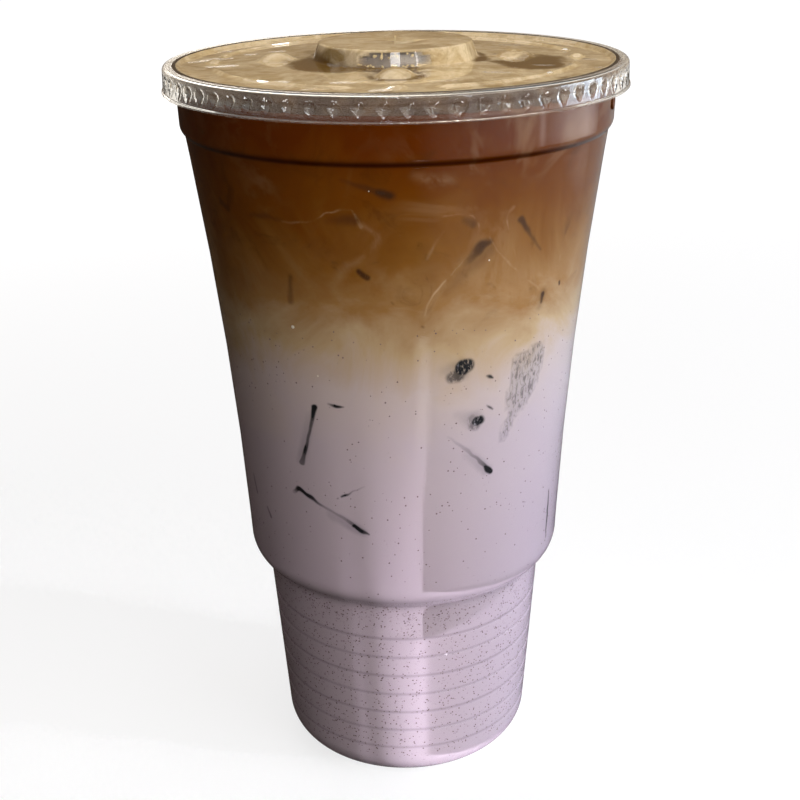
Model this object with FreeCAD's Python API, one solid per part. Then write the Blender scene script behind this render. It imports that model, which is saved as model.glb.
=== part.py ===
import FreeCAD, Part
import math
import os

# Iced latte in a 32 oz clear cup with a flat cross-slot lid. Millimetres, +Z up,
# origin in the middle of the ring that the cup stands on.
# The cup and the lid are thermoformed sheet, so each is one closed outline moved
# inwards by its wall. The drink is three layers that fill the cup up to the lid.

# Cup: the foot drops into a car's cup holder, the body stands over it
CUP_WALL = 0.5
CUP_HEIGHT = 185.4
FOOT_RING_RADIUS = 21.0
FOOT_RECESS = 2.6
FOOT_RECESS_SLOPE = 1.6
BASE_RADIUS = 32.8
BASE_TAPER = 4.0
BASE_HEIGHT = 55.9
HEEL_RADIUS = 8.6
GROOVE_FIRST = 10.9
GROOVE_PITCH = 5.82
GROOVE_TOP_GAP = 8.0
GROOVE_DEPTH = 0.3
GROOVE_WIDTH = 1.3
SHOULDER_WIDTH = 4.45
SHOULDER_RISE = 6.3
SHOULDER_SLOPE = 26.0
SHOULDER_RADIUS = 7.8
BODY_BOW = 1.3
BAND_HEIGHT = 15.4
BAND_STEP = 1.1
BAND_STEP_RISE = 1.4
BAND_FILLET = 2.6
BAND_TAPER = 0.4
RIM_RADIUS = 53.9
RIM_ROLL = 1.1
RIM_DEPTH = 2.2
RIM_FILLET = 0.7
CREASE_FILLET = 0.6

# Lid: a pressed sheet that snaps over the rim and lies on top of it
LID_WALL = 0.4
RIM_CLEARANCE = 0.2
MOUTH_CLEARANCE = 0.3
LID_EDGE_FILLET = 0.9
SKIRT_HEIGHT = 6.0
SKIRT_FLARE = 0.15
LIP_HEIGHT = 0.7
LIP_WIDTH = 0.3
LIP_FILLET = 0.2
PANEL_DEPTH = 0.8
PANEL_CROWN = 0.9
PANEL_FILLET = 0.5
BOSS_RADIUS = 19.8
BOSS_TAPER = 1.4
BOSS_HEIGHT = 3.9
BOSS_FILLET = 0.7
SLOT_LENGTH = 17.0
SLOT_WIDTH = 0.5

# Flutes of the skirt: scoops, deep and wide under the edge, narrow and shallow at the lip
FLUTE_PITCH = 5.13
FLUTE_RADIUS = 1.8
FLUTE_DEPTH = 1.0
FLUTE_TIP_RADIUS = 0.4
FLUTE_TIP_DEPTH = 0.06
FLUTE_TOP_GAP = 1.3
FLUTE_END_GAP = 1.0

# Buttons, arcs and lugs of the lid's panel, each the same number of times round it
BUTTON_COUNT = 4
BUTTON_GAP = 4.2
BUTTON_RADIUS = 4.6
BUTTON_HEIGHT = 1.8
DIMPLE_RADIUS = 3.2
DIMPLE_DEPTH = 1.1
ARC_RIB_INSET = 7.7
ARC_RIB_WIDTH = 1.8
ARC_RIB_HEIGHT = 0.5
ARC_RIB_SWEEP = 62.0
LUG_RADIUS = 2.0
LUG_HEIGHT = 0.8

# Drink: the top of the milk, the foam above the coffee, and the gap under the lid
MILK_LEVEL = 128.0
FOAM_DEPTH = 4.4
FOAM_GAP = 0.15

# Lands of the skirt from the +X axis round to the sheet's seam, clear of every bump
SEAM_STEPS = 2

Y = FreeCAD.Vector(0, 1, 0)
Z = FreeCAD.Vector(0, 0, 1)
CENTRE = FreeCAD.Vector(0, 0, 0)

# Heights and radii that follow from the sizes above
BASE_TOP_RADIUS = BASE_RADIUS + BASE_TAPER
GROOVE_COUNT = 1 + int((BASE_HEIGHT - GROOVE_TOP_GAP - GROOVE_FIRST) / GROOVE_PITCH)
BODY_RADIUS = BASE_TOP_RADIUS + SHOULDER_WIDTH
BODY_HEIGHT = BASE_HEIGHT + SHOULDER_RISE
BAND_START = CUP_HEIGHT - BAND_HEIGHT
BAND_TOP_RADIUS = RIM_RADIUS - RIM_ROLL
BAND_RADIUS = BAND_TOP_RADIUS - BAND_TAPER
BODY_TOP_RADIUS = BAND_RADIUS - BAND_STEP
COFFEE_LEVEL = CUP_HEIGHT - FOAM_DEPTH
LID_TOP = CUP_HEIGHT + LID_WALL
LID_RADIUS = RIM_RADIUS + RIM_CLEARANCE + FLUTE_DEPTH + LID_WALL
FLUTE_COUNT = round(2 * math.pi * LID_RADIUS / FLUTE_PITCH)
SKIRT_END = LID_TOP - SKIRT_HEIGHT
SKIRT_RADIUS = LID_RADIUS + SKIRT_FLARE
PANEL_RADIUS = BAND_TOP_RADIUS - CUP_WALL - MOUTH_CLEARANCE - PANEL_DEPTH
PANEL_EDGE = LID_TOP - PANEL_DEPTH
PANEL_MIDDLE = PANEL_EDGE + PANEL_CROWN
BOSS_TOP = PANEL_MIDDLE + BOSS_HEIGHT
BUTTON_CIRCLE = BOSS_RADIUS + BUTTON_GAP + BUTTON_RADIUS
ARC_RIB_CIRCLE = PANEL_RADIUS - ARC_RIB_INSET


def point(radius, height):
    return FreeCAD.Vector(radius, 0, height)


def crossing(a, along, b, direction):
    """The point where the line from a meets the line from b, both in the XZ plane."""
    scale = along.x * direction.z - along.z * direction.x
    gap = b - a
    return a + along * ((gap.x * direction.z - gap.z * direction.x) / scale)


def unit(start, end):
    along = end - start
    along.normalize()
    return along


def inset(corners, distance):
    """The same outline moved to the left of its run, fillets grown or shrunk to match."""
    places = [point(radius, height) for radius, height, fillet in corners]
    runs = [unit(a, b) for a, b in zip(places, places[1:])]
    lefts = [FreeCAD.Vector(-run.z, 0, run.x) for run in runs]
    moved = [places[0] + lefts[0] * distance]
    fillets = [0.0]
    for index in range(1, len(runs)):
        before = places[index] + lefts[index - 1] * distance
        after = places[index] + lefts[index] * distance
        moved.append(crossing(before, runs[index - 1], after, runs[index]))
        turn = runs[index - 1].x * runs[index].z - runs[index - 1].z * runs[index].x
        fillet = corners[index][2]
        if fillet:
            fillet = max(fillet - distance * math.copysign(1, turn), 0.1)
        fillets.append(fillet)
    moved.append(places[-1] + lefts[-1] * distance)
    fillets.append(0.0)
    return [(place.x, place.z, fillet) for place, fillet in zip(moved, fillets)]


def rounded(corners):
    """Edges along the corners (radius, height, fillet), an arc tangent at each fillet."""
    places = [point(radius, height) for radius, height, fillet in corners]
    edges = []
    start = places[0]
    for index in range(1, len(places) - 1):
        corner = places[index]
        fillet = corners[index][2]
        if not fillet:
            edges.append(Part.LineSegment(start, corner).toShape())
            start = corner
            continue
        before = unit(corner, places[index - 1])
        after = unit(corner, places[index + 1])
        half = before.getAngle(after) / 2
        reach = fillet / math.tan(half)
        middle = unit(CENTRE, before + after) * (fillet / math.sin(half) - fillet)
        first = corner + before * reach
        last = corner + after * reach
        edges.append(Part.LineSegment(start, first).toShape())
        edges.append(Part.Arc(first, corner + middle, last).toShape())
        start = last
    edges.append(Part.LineSegment(start, places[-1]).toShape())
    return edges


def turned(corners):
    """The solid of revolution of a closed outline that starts and ends on the axis."""
    closing = Part.LineSegment(point(*corners[-1][:2]), point(*corners[0][:2])).toShape()
    wire = Part.Wire(Part.__sortEdges__(rounded(corners) + [closing]))
    return Part.Face(wire).revolve(CENTRE, Z, 360)


def lower_wall():
    """Corners from the middle of the bottom up the base wall to the crease above it."""
    return [
        (0, FOOT_RECESS, 0),
        (FOOT_RING_RADIUS - FOOT_RECESS_SLOPE, FOOT_RECESS, CREASE_FILLET),
        (FOOT_RING_RADIUS, 0, CREASE_FILLET),
        (BASE_RADIUS, 0, HEEL_RADIUS),
        (BASE_TOP_RADIUS, BASE_HEIGHT, CREASE_FILLET),
    ]


def upper_wall():
    """Corners of the shoulder, the bowed body and the band, up to the rim."""
    body_start = point(BODY_RADIUS, BODY_HEIGHT)
    body_end = point(BODY_TOP_RADIUS, BAND_START)
    along = unit(body_start, body_end)
    half = (body_end - body_start).Length / 2
    middle = body_start + along * half + FreeCAD.Vector(-along.z, 0, along.x) * (2 * BODY_BOW)
    bow_turn = math.atan(2 * BODY_BOW / half)
    bow_radius = 0.9 * half / math.tan(bow_turn)
    slope = math.radians(SHOULDER_SLOPE)
    crease = point(BASE_TOP_RADIUS, BASE_HEIGHT)
    rising = FreeCAD.Vector(math.cos(slope), 0, math.sin(slope))
    shoulder = crossing(crease, rising, body_start, unit(body_start, middle))
    return [
        (shoulder.x, shoulder.z, SHOULDER_RADIUS),
        (middle.x, middle.z, bow_radius),
        (BODY_TOP_RADIUS, BAND_START, CREASE_FILLET),
        (BAND_RADIUS, BAND_START + BAND_STEP_RISE, BAND_FILLET),
        (BAND_TOP_RADIUS, CUP_HEIGHT, 0),
    ]


def grooves():
    """Ring cutters of V section for the grip lines round the base wall."""
    lean = (BASE_TOP_RADIUS - BASE_RADIUS) / BASE_HEIGHT
    rings = []
    for index in range(GROOVE_COUNT):
        height = GROOVE_FIRST + index * GROOVE_PITCH
        wall = BASE_RADIUS + lean * height
        half = GROOVE_WIDTH / 2
        lower = point(wall - lean * half, height - half)
        upper = point(wall + lean * half, height + half)
        out = FreeCAD.Vector(1, 0, 0)
        tip = point(wall - GROOVE_DEPTH, height)
        wire = Part.makePolygon([tip, lower, lower + out, upper + out, upper, tip])
        rings.append(Part.Face(wire).revolve(CENTRE, Z, 360))
    return rings


def hollow():
    """Everything inside the cup's wall, up to the plane of its rim."""
    wall = inset(lower_wall() + upper_wall(), CUP_WALL)
    radius, height, fillet = wall[-1]
    return turned(wall[:-1] + [(radius, CUP_HEIGHT, 0), (0, CUP_HEIGHT, 0)])


def cup():
    """The shell: the outline with its rolled rim, less the hollow and the grip lines."""
    wall = lower_wall() + upper_wall()[:-1]
    rim = [
        (BAND_TOP_RADIUS, CUP_HEIGHT - RIM_DEPTH, 0),
        (RIM_RADIUS, CUP_HEIGHT - RIM_DEPTH, RIM_FILLET),
        (RIM_RADIUS, CUP_HEIGHT, RIM_FILLET),
        (0, CUP_HEIGHT, 0),
    ]
    return turned(wall + rim).cut(hollow()).cut(grooves())


def lid_outline():
    """Corners of the lid's top from its middle out to the lip under the skirt."""
    return [
        (0, BOSS_TOP, 0),
        (BOSS_RADIUS - BOSS_TAPER, BOSS_TOP, BOSS_FILLET),
        (BOSS_RADIUS, PANEL_MIDDLE, BOSS_FILLET),
        (PANEL_RADIUS, PANEL_EDGE, PANEL_FILLET),
        (PANEL_RADIUS + PANEL_DEPTH, LID_TOP, PANEL_FILLET),
        (LID_RADIUS, LID_TOP, LID_EDGE_FILLET),
        (SKIRT_RADIUS, SKIRT_END + LIP_HEIGHT, 0),
    ]


def panel_height(radius):
    share = (PANEL_RADIUS - radius) / (PANEL_RADIUS - BOSS_RADIUS)
    return PANEL_EDGE + PANEL_CROWN * share


def round_the_lid(shape, count, first=0.0):
    """Copies of a shape at equal steps round the axis."""
    copies = []
    for index in range(count):
        copy = shape.copy()
        copy.rotate(CENTRE, Z, first + index * 360.0 / count)
        copies.append(copy)
    return copies


def flute(growth):
    """One scoop: a teardrop that leans into the skirt, its small end down at the lip."""
    reach = math.sqrt(FLUTE_RADIUS ** 2 - (FLUTE_RADIUS - FLUTE_DEPTH) ** 2)
    big = FLUTE_RADIUS + growth
    small = FLUTE_TIP_RADIUS + growth
    top = point(LID_RADIUS + FLUTE_RADIUS - FLUTE_DEPTH, LID_TOP - FLUTE_TOP_GAP - reach)
    end = point(SKIRT_RADIUS + FLUTE_TIP_RADIUS - FLUTE_TIP_DEPTH, SKIRT_END + FLUTE_END_GAP)
    length = (top - end).Length
    lean = math.asin((big - small) / length)

    def on_ball(radius, height, angle):
        return point(radius * math.cos(angle), height + radius * math.sin(angle))

    low = on_ball(small, 0, -math.pi / 2)
    high = on_ball(big, length, math.pi / 2)
    side_low = on_ball(small, 0, -lean)
    side_high = on_ball(big, length, -lean)
    wire = Part.Wire([
        Part.Arc(low, on_ball(small, 0, -(math.pi / 2 + lean) / 2), side_low).toShape(),
        Part.LineSegment(side_low, side_high).toShape(),
        Part.Arc(side_high, on_ball(big, length, (math.pi / 2 - lean) / 2), high).toShape(),
        Part.LineSegment(high, low).toShape(),
    ])
    scoop = Part.Face(wire).revolve(CENTRE, Z, 360)
    scoop.rotate(CENTRE, Y, math.degrees(math.atan2(top.x - end.x, top.z - end.z)))
    scoop.translate(end)
    return scoop


def ball_radius(reach, rise):
    """The radius of a round bump that is reach wide each way and rises by rise."""
    return (reach ** 2 + rise ** 2) / (2 * rise)


def bump(circle, reach, rise, growth):
    """A round cap on the panel, growth being negative for the sheet's underside."""
    ball = ball_radius(reach, rise)
    middle = point(circle, panel_height(circle) + rise - ball)
    foot = math.degrees(math.asin((ball - rise - LID_WALL) / (ball + growth)))
    cap = Part.makeSphere(ball + growth, middle, Z, foot, 90, 360)
    return round_the_lid(cap, BUTTON_COUNT)


def arc_ribs(growth):
    """Raised arcs of round section between the lugs."""
    ball = ball_radius(ARC_RIB_WIDTH / 2, ARC_RIB_HEIGHT)
    height = panel_height(ARC_RIB_CIRCLE) + ARC_RIB_HEIGHT - ball
    middle = point(0, height)
    arc = Part.makeTorus(ARC_RIB_CIRCLE, ball + growth, middle, Z, 0, 360, ARC_RIB_SWEEP)
    return round_the_lid(arc, BUTTON_COUNT, (360.0 / BUTTON_COUNT - ARC_RIB_SWEEP) / 2)


def dimple(growth):
    """The ball that the button on the +X side was pressed in by."""
    ball = ball_radius(DIMPLE_RADIUS, DIMPLE_DEPTH)
    height = panel_height(BUTTON_CIRCLE) + BUTTON_HEIGHT - DIMPLE_DEPTH + ball
    return Part.makeSphere(ball + growth, point(BUTTON_CIRCLE, height))


def lid_form(outline, depth):
    """The solid under one side of the lid's sheet, the outline's side at that depth."""
    body = turned(outline + [(0, outline[-1][1], 0)])
    body.rotate(CENTRE, Z, SEAM_STEPS * 360.0 / FLUTE_COUNT)
    raised = bump(BUTTON_CIRCLE, BUTTON_RADIUS, BUTTON_HEIGHT, -depth)
    raised += bump(ARC_RIB_CIRCLE, LUG_RADIUS, LUG_HEIGHT, -depth)
    raised += arc_ribs(-depth)
    scoops = round_the_lid(flute(depth), FLUTE_COUNT, 180.0 / FLUTE_COUNT)
    return body.multiFuse(raised).cut(scoops).cut(dimple(depth))


def slots():
    """The crossed slits that a straw opens, cut through the boss."""
    bars = []
    for angle in (0, 90):
        bar = Part.makeBox(SLOT_LENGTH, SLOT_WIDTH, BOSS_HEIGHT / 2)
        bar.translate(FreeCAD.Vector(-SLOT_LENGTH / 2, -SLOT_WIDTH / 2, BOSS_TOP - BOSS_HEIGHT / 4))
        bar.rotate(CENTRE, Z, angle)
        bars.append(bar)
    return bars


def lid():
    """The sheet between its top and its underside, with the lip turned out below."""
    lip = [
        (SKIRT_RADIUS + LIP_WIDTH, SKIRT_END + LIP_HEIGHT / 2, LIP_FILLET),
        (SKIRT_RADIUS + LIP_WIDTH, SKIRT_END, 0),
    ]
    top = lid_form(lid_outline() + lip, 0)
    under = inset(lid_outline(), -LID_WALL)
    foot = (under[-1][0], SKIRT_END - LID_WALL, 0)
    return top.cut(lid_form(under + [foot], LID_WALL)).cut(slots())


def layer(filling, bottom, top):
    """The part of the filling between two heights."""
    slab = Part.makeCylinder(2 * RIM_RADIUS, top - bottom, point(0, bottom))
    return filling.common(slab)


def foam(filling):
    """The head of foam: the cup's mouth, and what has risen under the lid and its boss."""
    under = inset(lid_outline()[:4], -LID_WALL - FOAM_GAP)
    radius, height, fillet = under[-1]
    head = turned(under + [(radius, COFFEE_LEVEL, 0), (0, COFFEE_LEVEL, 0)])
    return head.fuse(layer(filling, COFFEE_LEVEL, height)).removeSplitter()


def write(name, shape):
    solids = shape.Solids
    if len(solids) != 1 or not solids[0].isValid():
        raise ValueError(f"{name} is {len(solids)} solids, not one valid one")
    solids[0].exportStep(f"parts/{name}.step")
    print(name, round(solids[0].Volume / 1000, 2), "cm3")


def main():
    os.makedirs("parts", exist_ok=True)
    filling = hollow()
    write("cup", cup())
    write("lid", lid())
    write("milk", layer(filling, -FOOT_RECESS, MILK_LEVEL))
    write("coffee", layer(filling, MILK_LEVEL, COFFEE_LEVEL))
    write("foam", foam(filling))


main()
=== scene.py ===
import math

import bmesh
import bpy
import numpy as np
from mathutils import Matrix, Vector


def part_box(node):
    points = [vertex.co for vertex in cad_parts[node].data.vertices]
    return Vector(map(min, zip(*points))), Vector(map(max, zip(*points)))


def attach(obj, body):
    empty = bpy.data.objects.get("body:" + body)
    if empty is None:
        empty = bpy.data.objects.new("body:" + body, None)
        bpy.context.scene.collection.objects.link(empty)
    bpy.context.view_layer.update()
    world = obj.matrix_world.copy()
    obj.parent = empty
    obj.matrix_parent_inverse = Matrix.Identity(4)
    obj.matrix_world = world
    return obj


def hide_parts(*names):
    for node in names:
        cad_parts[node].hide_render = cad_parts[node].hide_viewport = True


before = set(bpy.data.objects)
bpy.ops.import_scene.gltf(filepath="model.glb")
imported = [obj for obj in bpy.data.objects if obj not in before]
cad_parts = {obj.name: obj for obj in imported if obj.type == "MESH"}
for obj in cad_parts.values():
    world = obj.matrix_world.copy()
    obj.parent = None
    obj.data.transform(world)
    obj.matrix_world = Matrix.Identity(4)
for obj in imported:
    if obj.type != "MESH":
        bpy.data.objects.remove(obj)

# An iced latte in a clear 32 oz cup with a flat lid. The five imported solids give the
# places, and smooth meshes of the same sizes stand for them. Lengths are millimetres,
# turned into metres where a mesh is made. Azimuth 0 is the front (-Y), 90 is +X.
MM = 0.001
TURN = 2 * math.pi
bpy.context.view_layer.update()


def top_of(node):
    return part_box(node)[1].z / MM


def reach_of(node):
    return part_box(node)[1].x / MM


# Cup
CUP_HEIGHT = top_of("cup")
CUP_WALL = 0.5
FOOT_RING_RADIUS = 21.0
FOOT_RECESS = 2.6
FOOT_RECESS_SLOPE = 1.6
BASE_RADIUS = 32.8
BASE_TAPER = 4.0
BASE_HEIGHT = 55.9
HEEL_RADIUS = 8.6
GROOVE_FIRST = 10.9
GROOVE_PITCH = 5.82
GROOVE_COUNT = 7
GROOVE_DEPTH = 0.3
GROOVE_WIDTH = 1.3
SHOULDER_WIDTH = 4.45
SHOULDER_RISE = 6.3
SHOULDER_SLOPE = 26.0
SHOULDER_RADIUS = 7.8
BODY_BOW = 1.3
BAND_HEIGHT = 15.4
BAND_STEP = 1.1
BAND_STEP_RISE = 1.4
BAND_FILLET = 2.6
BAND_TAPER = 0.4
RIM_RADIUS = 53.9
RIM_ROLL = 1.1
RIM_DEPTH = 2.2
RIM_FILLET = 0.7
CREASE_FILLET = 0.6

BASE_TOP_RADIUS = BASE_RADIUS + BASE_TAPER
BODY_RADIUS = BASE_TOP_RADIUS + SHOULDER_WIDTH
BODY_HEIGHT = BASE_HEIGHT + SHOULDER_RISE
BAND_START = CUP_HEIGHT - BAND_HEIGHT
BAND_TOP_RADIUS = RIM_RADIUS - RIM_ROLL
BAND_RADIUS = BAND_TOP_RADIUS - BAND_TAPER
BODY_TOP_RADIUS = BAND_RADIUS - BAND_STEP

# Lid
LID_WALL = 0.4
LID_TOP = CUP_HEIGHT + LID_WALL
LID_EDGE_FILLET = 0.9
LID_EDGE_WIDTH = 1.2
SKIRT_HEIGHT = 6.0
SKIRT_FLARE = 0.15
LIP_HEIGHT = 0.7
LIP_WIDTH = 0.3
LIP_FILLET = 0.2
PANEL_DEPTH = 0.8
PANEL_CROWN = 0.9
PANEL_FILLET = 0.5
PANEL_RADIUS = 51.2
BOSS_RADIUS = 19.8
BOSS_TAPER = 1.4
BOSS_FILLET = 0.7
BOSS_TOP = top_of("lid")
SLIT_REACH = 8.5
SLIT_WIDTH = 0.5
SLIT_START = 0.5
SLIT_RINGS = 12
ARC_RINGS = 7
SKIRT_RADIUS = reach_of("lid") - LIP_WIDTH
LID_RADIUS = SKIRT_RADIUS - SKIRT_FLARE
SKIRT_END = LID_TOP - SKIRT_HEIGHT
PANEL_EDGE = LID_TOP - PANEL_DEPTH
PANEL_MIDDLE = PANEL_EDGE + PANEL_CROWN

FLUTE_COUNT = 68
FLUTE_RADIUS = 1.8
FLUTE_DEPTH = 1.0
FLUTE_TIP_RADIUS = 0.4
FLUTE_TIP_DEPTH = 0.06
FLUTE_TOP_GAP = 1.3
FLUTE_END_GAP = 1.0

BUTTON_CIRCLE = 28.6
BUTTON_RADIUS = 4.6
BUTTON_HEIGHT = 1.8
DIMPLE_RADIUS = 3.2
DIMPLE_DEPTH = 1.1
ARC_CIRCLE = 43.5
ARC_WIDTH = 1.8
ARC_HEIGHT = 0.5
ARC_SWEEP = 62.0
LUG_RADIUS = 2.0
LUG_HEIGHT = 0.8

# Drink
MILK_LEVEL = top_of("milk")
COFFEE_LEVEL = top_of("coffee")
INTO_WALL = 0.15
END_GAP = 0.3
END_INSET = 2.0

# Ice, grounds and bubbles
BACK_CHUNKS = 13
BACK_START = 82.0
BACK_PITCH = 15.0
SPECK_COUNT = 6000
BUBBLE_COUNT = 170
SHAKE = 0.16
SHAKE_SIZE = 3.0
ICE_BUMPS = 0.18
ICE_BUMP_SIZE = 4.0

# Fineness of the meshes
WALL_STEP = 1.2
PLAIN_STEP = 2.0
GROOVE_STEP = 0.3
PANEL_STEP = 1.1
SKIRT_STEP = 0.3
FOAM_STEP = 0.8
LID_ARC_STEP = 0.2
CHUNK_CELLS = 16
CUP_COLUMNS = 180
DRINK_COLUMNS = 240
FOAM_COLUMNS = 300
QUARTER_COLUMNS = 85

# Camera, in metres and degrees
CAMERA_PLACE = (0, -0.329, 0.230)
CAMERA_TILT = 90 - 22.01
CAMERA_ROLL = -1.04
CAMERA_ASIDE = 0.07
CAMERA_LENS = 60.3
CAMERA_SENSOR = 36

# Studio, in millimetres
FLOOR_REACH = 8000
ROOM_RADIUS = 1500
GLINT_HEIGHT = 8.0
DARK_ROOM = (0.030, 0.020, 0.014)
SECTOR_STEPS = 161
WALL_STEPS = 33


# Outlines: points (radius, height) in the half plane, run with the solid on the left

def unit(vector):
    return vector / np.linalg.norm(vector)


def turned_by(vector, angle):
    cosine, sine = math.cos(angle), math.sin(angle)
    return np.array([vector[0] * cosine - vector[1] * sine, vector[0] * sine + vector[1] * cosine])


def outline(corners, arc_step=0.25):
    """Points along an outline of (radius, height, fillet) corners."""
    points = [np.array(corners[0][:2], float)]
    for before, corner, after in zip(corners, corners[1:], corners[2:]):
        place = np.array(corner[:2], float)
        fillet = corner[2]
        if not fillet:
            points.append(place)
            continue
        back = unit(np.array(before[:2], float) - place)
        onward = unit(np.array(after[:2], float) - place)
        half = math.acos(float(np.clip(back @ onward, -1, 1))) / 2
        centre = place + unit(back + onward) * fillet / math.sin(half)
        arm = place + back * fillet / math.tan(half) - centre
        side = math.copysign(1, back[1] * onward[0] - back[0] * onward[1])
        sweep = side * (math.pi - 2 * half)
        steps = max(4, math.ceil(fillet * abs(sweep) / max(arc_step, fillet / 40)))
        points += [centre + turned_by(arm, sweep * step / steps) for step in range(steps + 1)]
    points.append(np.array(corners[-1][:2], float))
    return np.array(points)


def filled_in(points, step):
    """The same outline with no run longer than step."""
    fuller = [points[:1]]
    for start, end in zip(points, points[1:]):
        count = max(1, math.ceil(np.linalg.norm(end - start) / step))
        shares = np.arange(1, count + 1)[:, None] / count
        fuller.append(start + (end - start) * shares)
    return np.concatenate(fuller)


def moved_left(points, distance):
    """The outline moved to its left, which is into the solid."""
    runs = np.diff(points, axis=0)
    runs = runs / np.linalg.norm(runs, axis=1)[:, None]
    before = np.vstack([runs[:1], runs])
    after = np.vstack([runs, runs[-1:]])
    along = before + after
    along = along / np.linalg.norm(along, axis=1)[:, None]
    spread = np.clip((along * after).sum(axis=1), 0.5, 1)
    left = np.stack([-along[:, 1], along[:, 0]], axis=1)
    return points + left * (distance / spread)[:, None]


def cup_corners():
    """Corners of the cup's outside from the middle of its foot to its mouth."""
    start = np.array([BODY_RADIUS, BODY_HEIGHT])
    end = np.array([BODY_TOP_RADIUS, BAND_START])
    along = unit(end - start)
    half = np.linalg.norm(end - start) / 2
    middle = start + along * half + np.array([-along[1], along[0]]) * 2 * BODY_BOW
    bow = 0.9 * half / math.tan(math.atan(2 * BODY_BOW / half))
    rise = math.tan(math.radians(SHOULDER_SLOPE))
    lean = unit(middle - start)
    climb = (BODY_HEIGHT - BASE_HEIGHT - rise * SHOULDER_WIDTH) / (rise * lean[0] - lean[1])
    shoulder = start + lean * climb
    return [
        (0, FOOT_RECESS, 0),
        (FOOT_RING_RADIUS - FOOT_RECESS_SLOPE, FOOT_RECESS, CREASE_FILLET),
        (FOOT_RING_RADIUS, 0, CREASE_FILLET),
        (BASE_RADIUS, 0, HEEL_RADIUS),
        (BASE_TOP_RADIUS, BASE_HEIGHT, CREASE_FILLET),
        (shoulder[0], shoulder[1], SHOULDER_RADIUS),
        (middle[0], middle[1], bow),
        (BODY_TOP_RADIUS, BAND_START, CREASE_FILLET),
        (BAND_RADIUS, BAND_START + BAND_STEP_RISE, BAND_FILLET),
        (BAND_TOP_RADIUS, CUP_HEIGHT, 0),
    ]


def with_grooves(points):
    """The outside of the cup with the grip lines pressed in round the base."""
    low = int(np.argmax(points[:, 1] > GROOVE_FIRST - GROOVE_WIDTH)) - 1
    high = int(np.argmax(points[:, 1] > BASE_HEIGHT - 1))
    base = filled_in(points[low:high + 1], GROOVE_STEP)[1:]
    above = filled_in(points[high:], PLAIN_STEP)[1:]
    grooved = np.vstack([points[:low + 1], base, above])
    depth = np.zeros(len(grooved))
    for index in range(GROOVE_COUNT):
        away = np.abs(grooved[:, 1] - GROOVE_FIRST - index * GROOVE_PITCH) / (GROOVE_WIDTH / 2)
        depth += GROOVE_DEPTH * np.clip(1 - away, 0, 1)
    on_wall = grooved[:, 0] > BASE_RADIUS - 1
    grooved[:, 0] -= depth * on_wall
    return grooved


CUP_SIDE = outline(cup_corners())
CUP_INSIDE = moved_left(CUP_SIDE, CUP_WALL)
DRINK_SIDE = filled_in(moved_left(CUP_SIDE, CUP_WALL - INTO_WALL), WALL_STEP)


def drink_radius(height):
    """The radius of the drink at a height, on the wall above the heel."""
    wall = DRINK_SIDE[DRINK_SIDE[:, 0] > FOOT_RING_RADIUS]
    return np.interp(height, wall[:, 1], wall[:, 0])


def at(azimuth, radius, height):
    """A place by its azimuth in degrees, its radius and its height."""
    angle = math.radians(azimuth)
    return np.array([radius * math.sin(angle), -radius * math.cos(angle), height])


def on_wall(azimuth, height, sunk):
    """A place sunk that far behind the drink's side."""
    return at(azimuth, drink_radius(height) - sunk, height)


def stretch(low, high):
    """The drink's side between two heights, with its ends exactly there."""
    heights = DRINK_SIDE[:, 1]
    inner = DRINK_SIDE[(heights > low + END_GAP) & (heights < high - END_GAP)]
    ends = [[drink_radius(height), height] for height in (low, high)]
    return np.vstack([ends[:1], inner, ends[1:]])


# Meshes

def mesh_object(name, points, faces, made):
    """A mesh in the scene from points in millimetres."""
    mesh = bpy.data.meshes.new(name)
    mesh.from_pydata((np.asarray(points) * MM).tolist(), [], faces)
    mesh.materials.append(made)
    piece = bpy.data.objects.new(name, mesh)
    bpy.context.scene.collection.objects.link(piece)
    return piece


def shown(name, points, faces, made, replaced=(), sharp=35.0):
    """A smooth mesh piece on the part's one body."""
    piece = mesh_object(name, points, faces, made)
    piece.data.validate()
    piece.data.shade_smooth()
    piece.data.set_sharp_from_angle(angle=math.radians(sharp))
    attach(piece, "root")
    if replaced:
        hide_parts(*replaced)
    return piece


def on_ring(radius, height, azimuths):
    """Points at azimuths in radians."""
    radius = np.broadcast_to(radius, azimuths.shape)
    height = np.broadcast_to(height, azimuths.shape)
    return np.stack([radius * np.sin(azimuths), -radius * np.cos(azimuths), height], axis=1)


def revolved(profile, columns):
    """Points and faces of a closed outline turned round the axis, where it starts and ends."""
    azimuths = np.arange(columns) * TURN / columns
    rings = [on_ring(radius, height, azimuths) for radius, height in profile[1:-1]]
    ends = [[0, 0, profile[0][1]], [0, 0, profile[-1][1]]]
    points = np.vstack(rings + [ends])
    first = np.arange(columns)
    second = (first + 1) % columns
    faces = []
    for ring in range(len(rings) - 1):
        low = ring * columns
        high = low + columns
        faces += np.stack([first + low, second + low, second + high, first + high], axis=1).tolist()
    start = len(points) - 2
    last = (len(rings) - 1) * columns
    faces += [[start, b, a] for a, b in zip(first.tolist(), second.tolist())]
    faces += [[start + 1, a + last, b + last] for a, b in zip(first.tolist(), second.tolist())]
    return points, faces


def ripple(points, size, seed):
    """A smooth uneven value from about -1 to 1, with bumps of that size, anywhere in space."""
    draw = np.random.default_rng(seed)
    total = np.zeros(len(points))
    for _ in range(6):
        direction = unit(draw.normal(size=3)) * TURN / (size * draw.uniform(0.7, 1.6))
        total += np.sin(points @ direction + draw.uniform(0, TURN))
    return total / 3


# Ice: rounded chunks, each given by three corners on or behind the wall and a thickness

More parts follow.
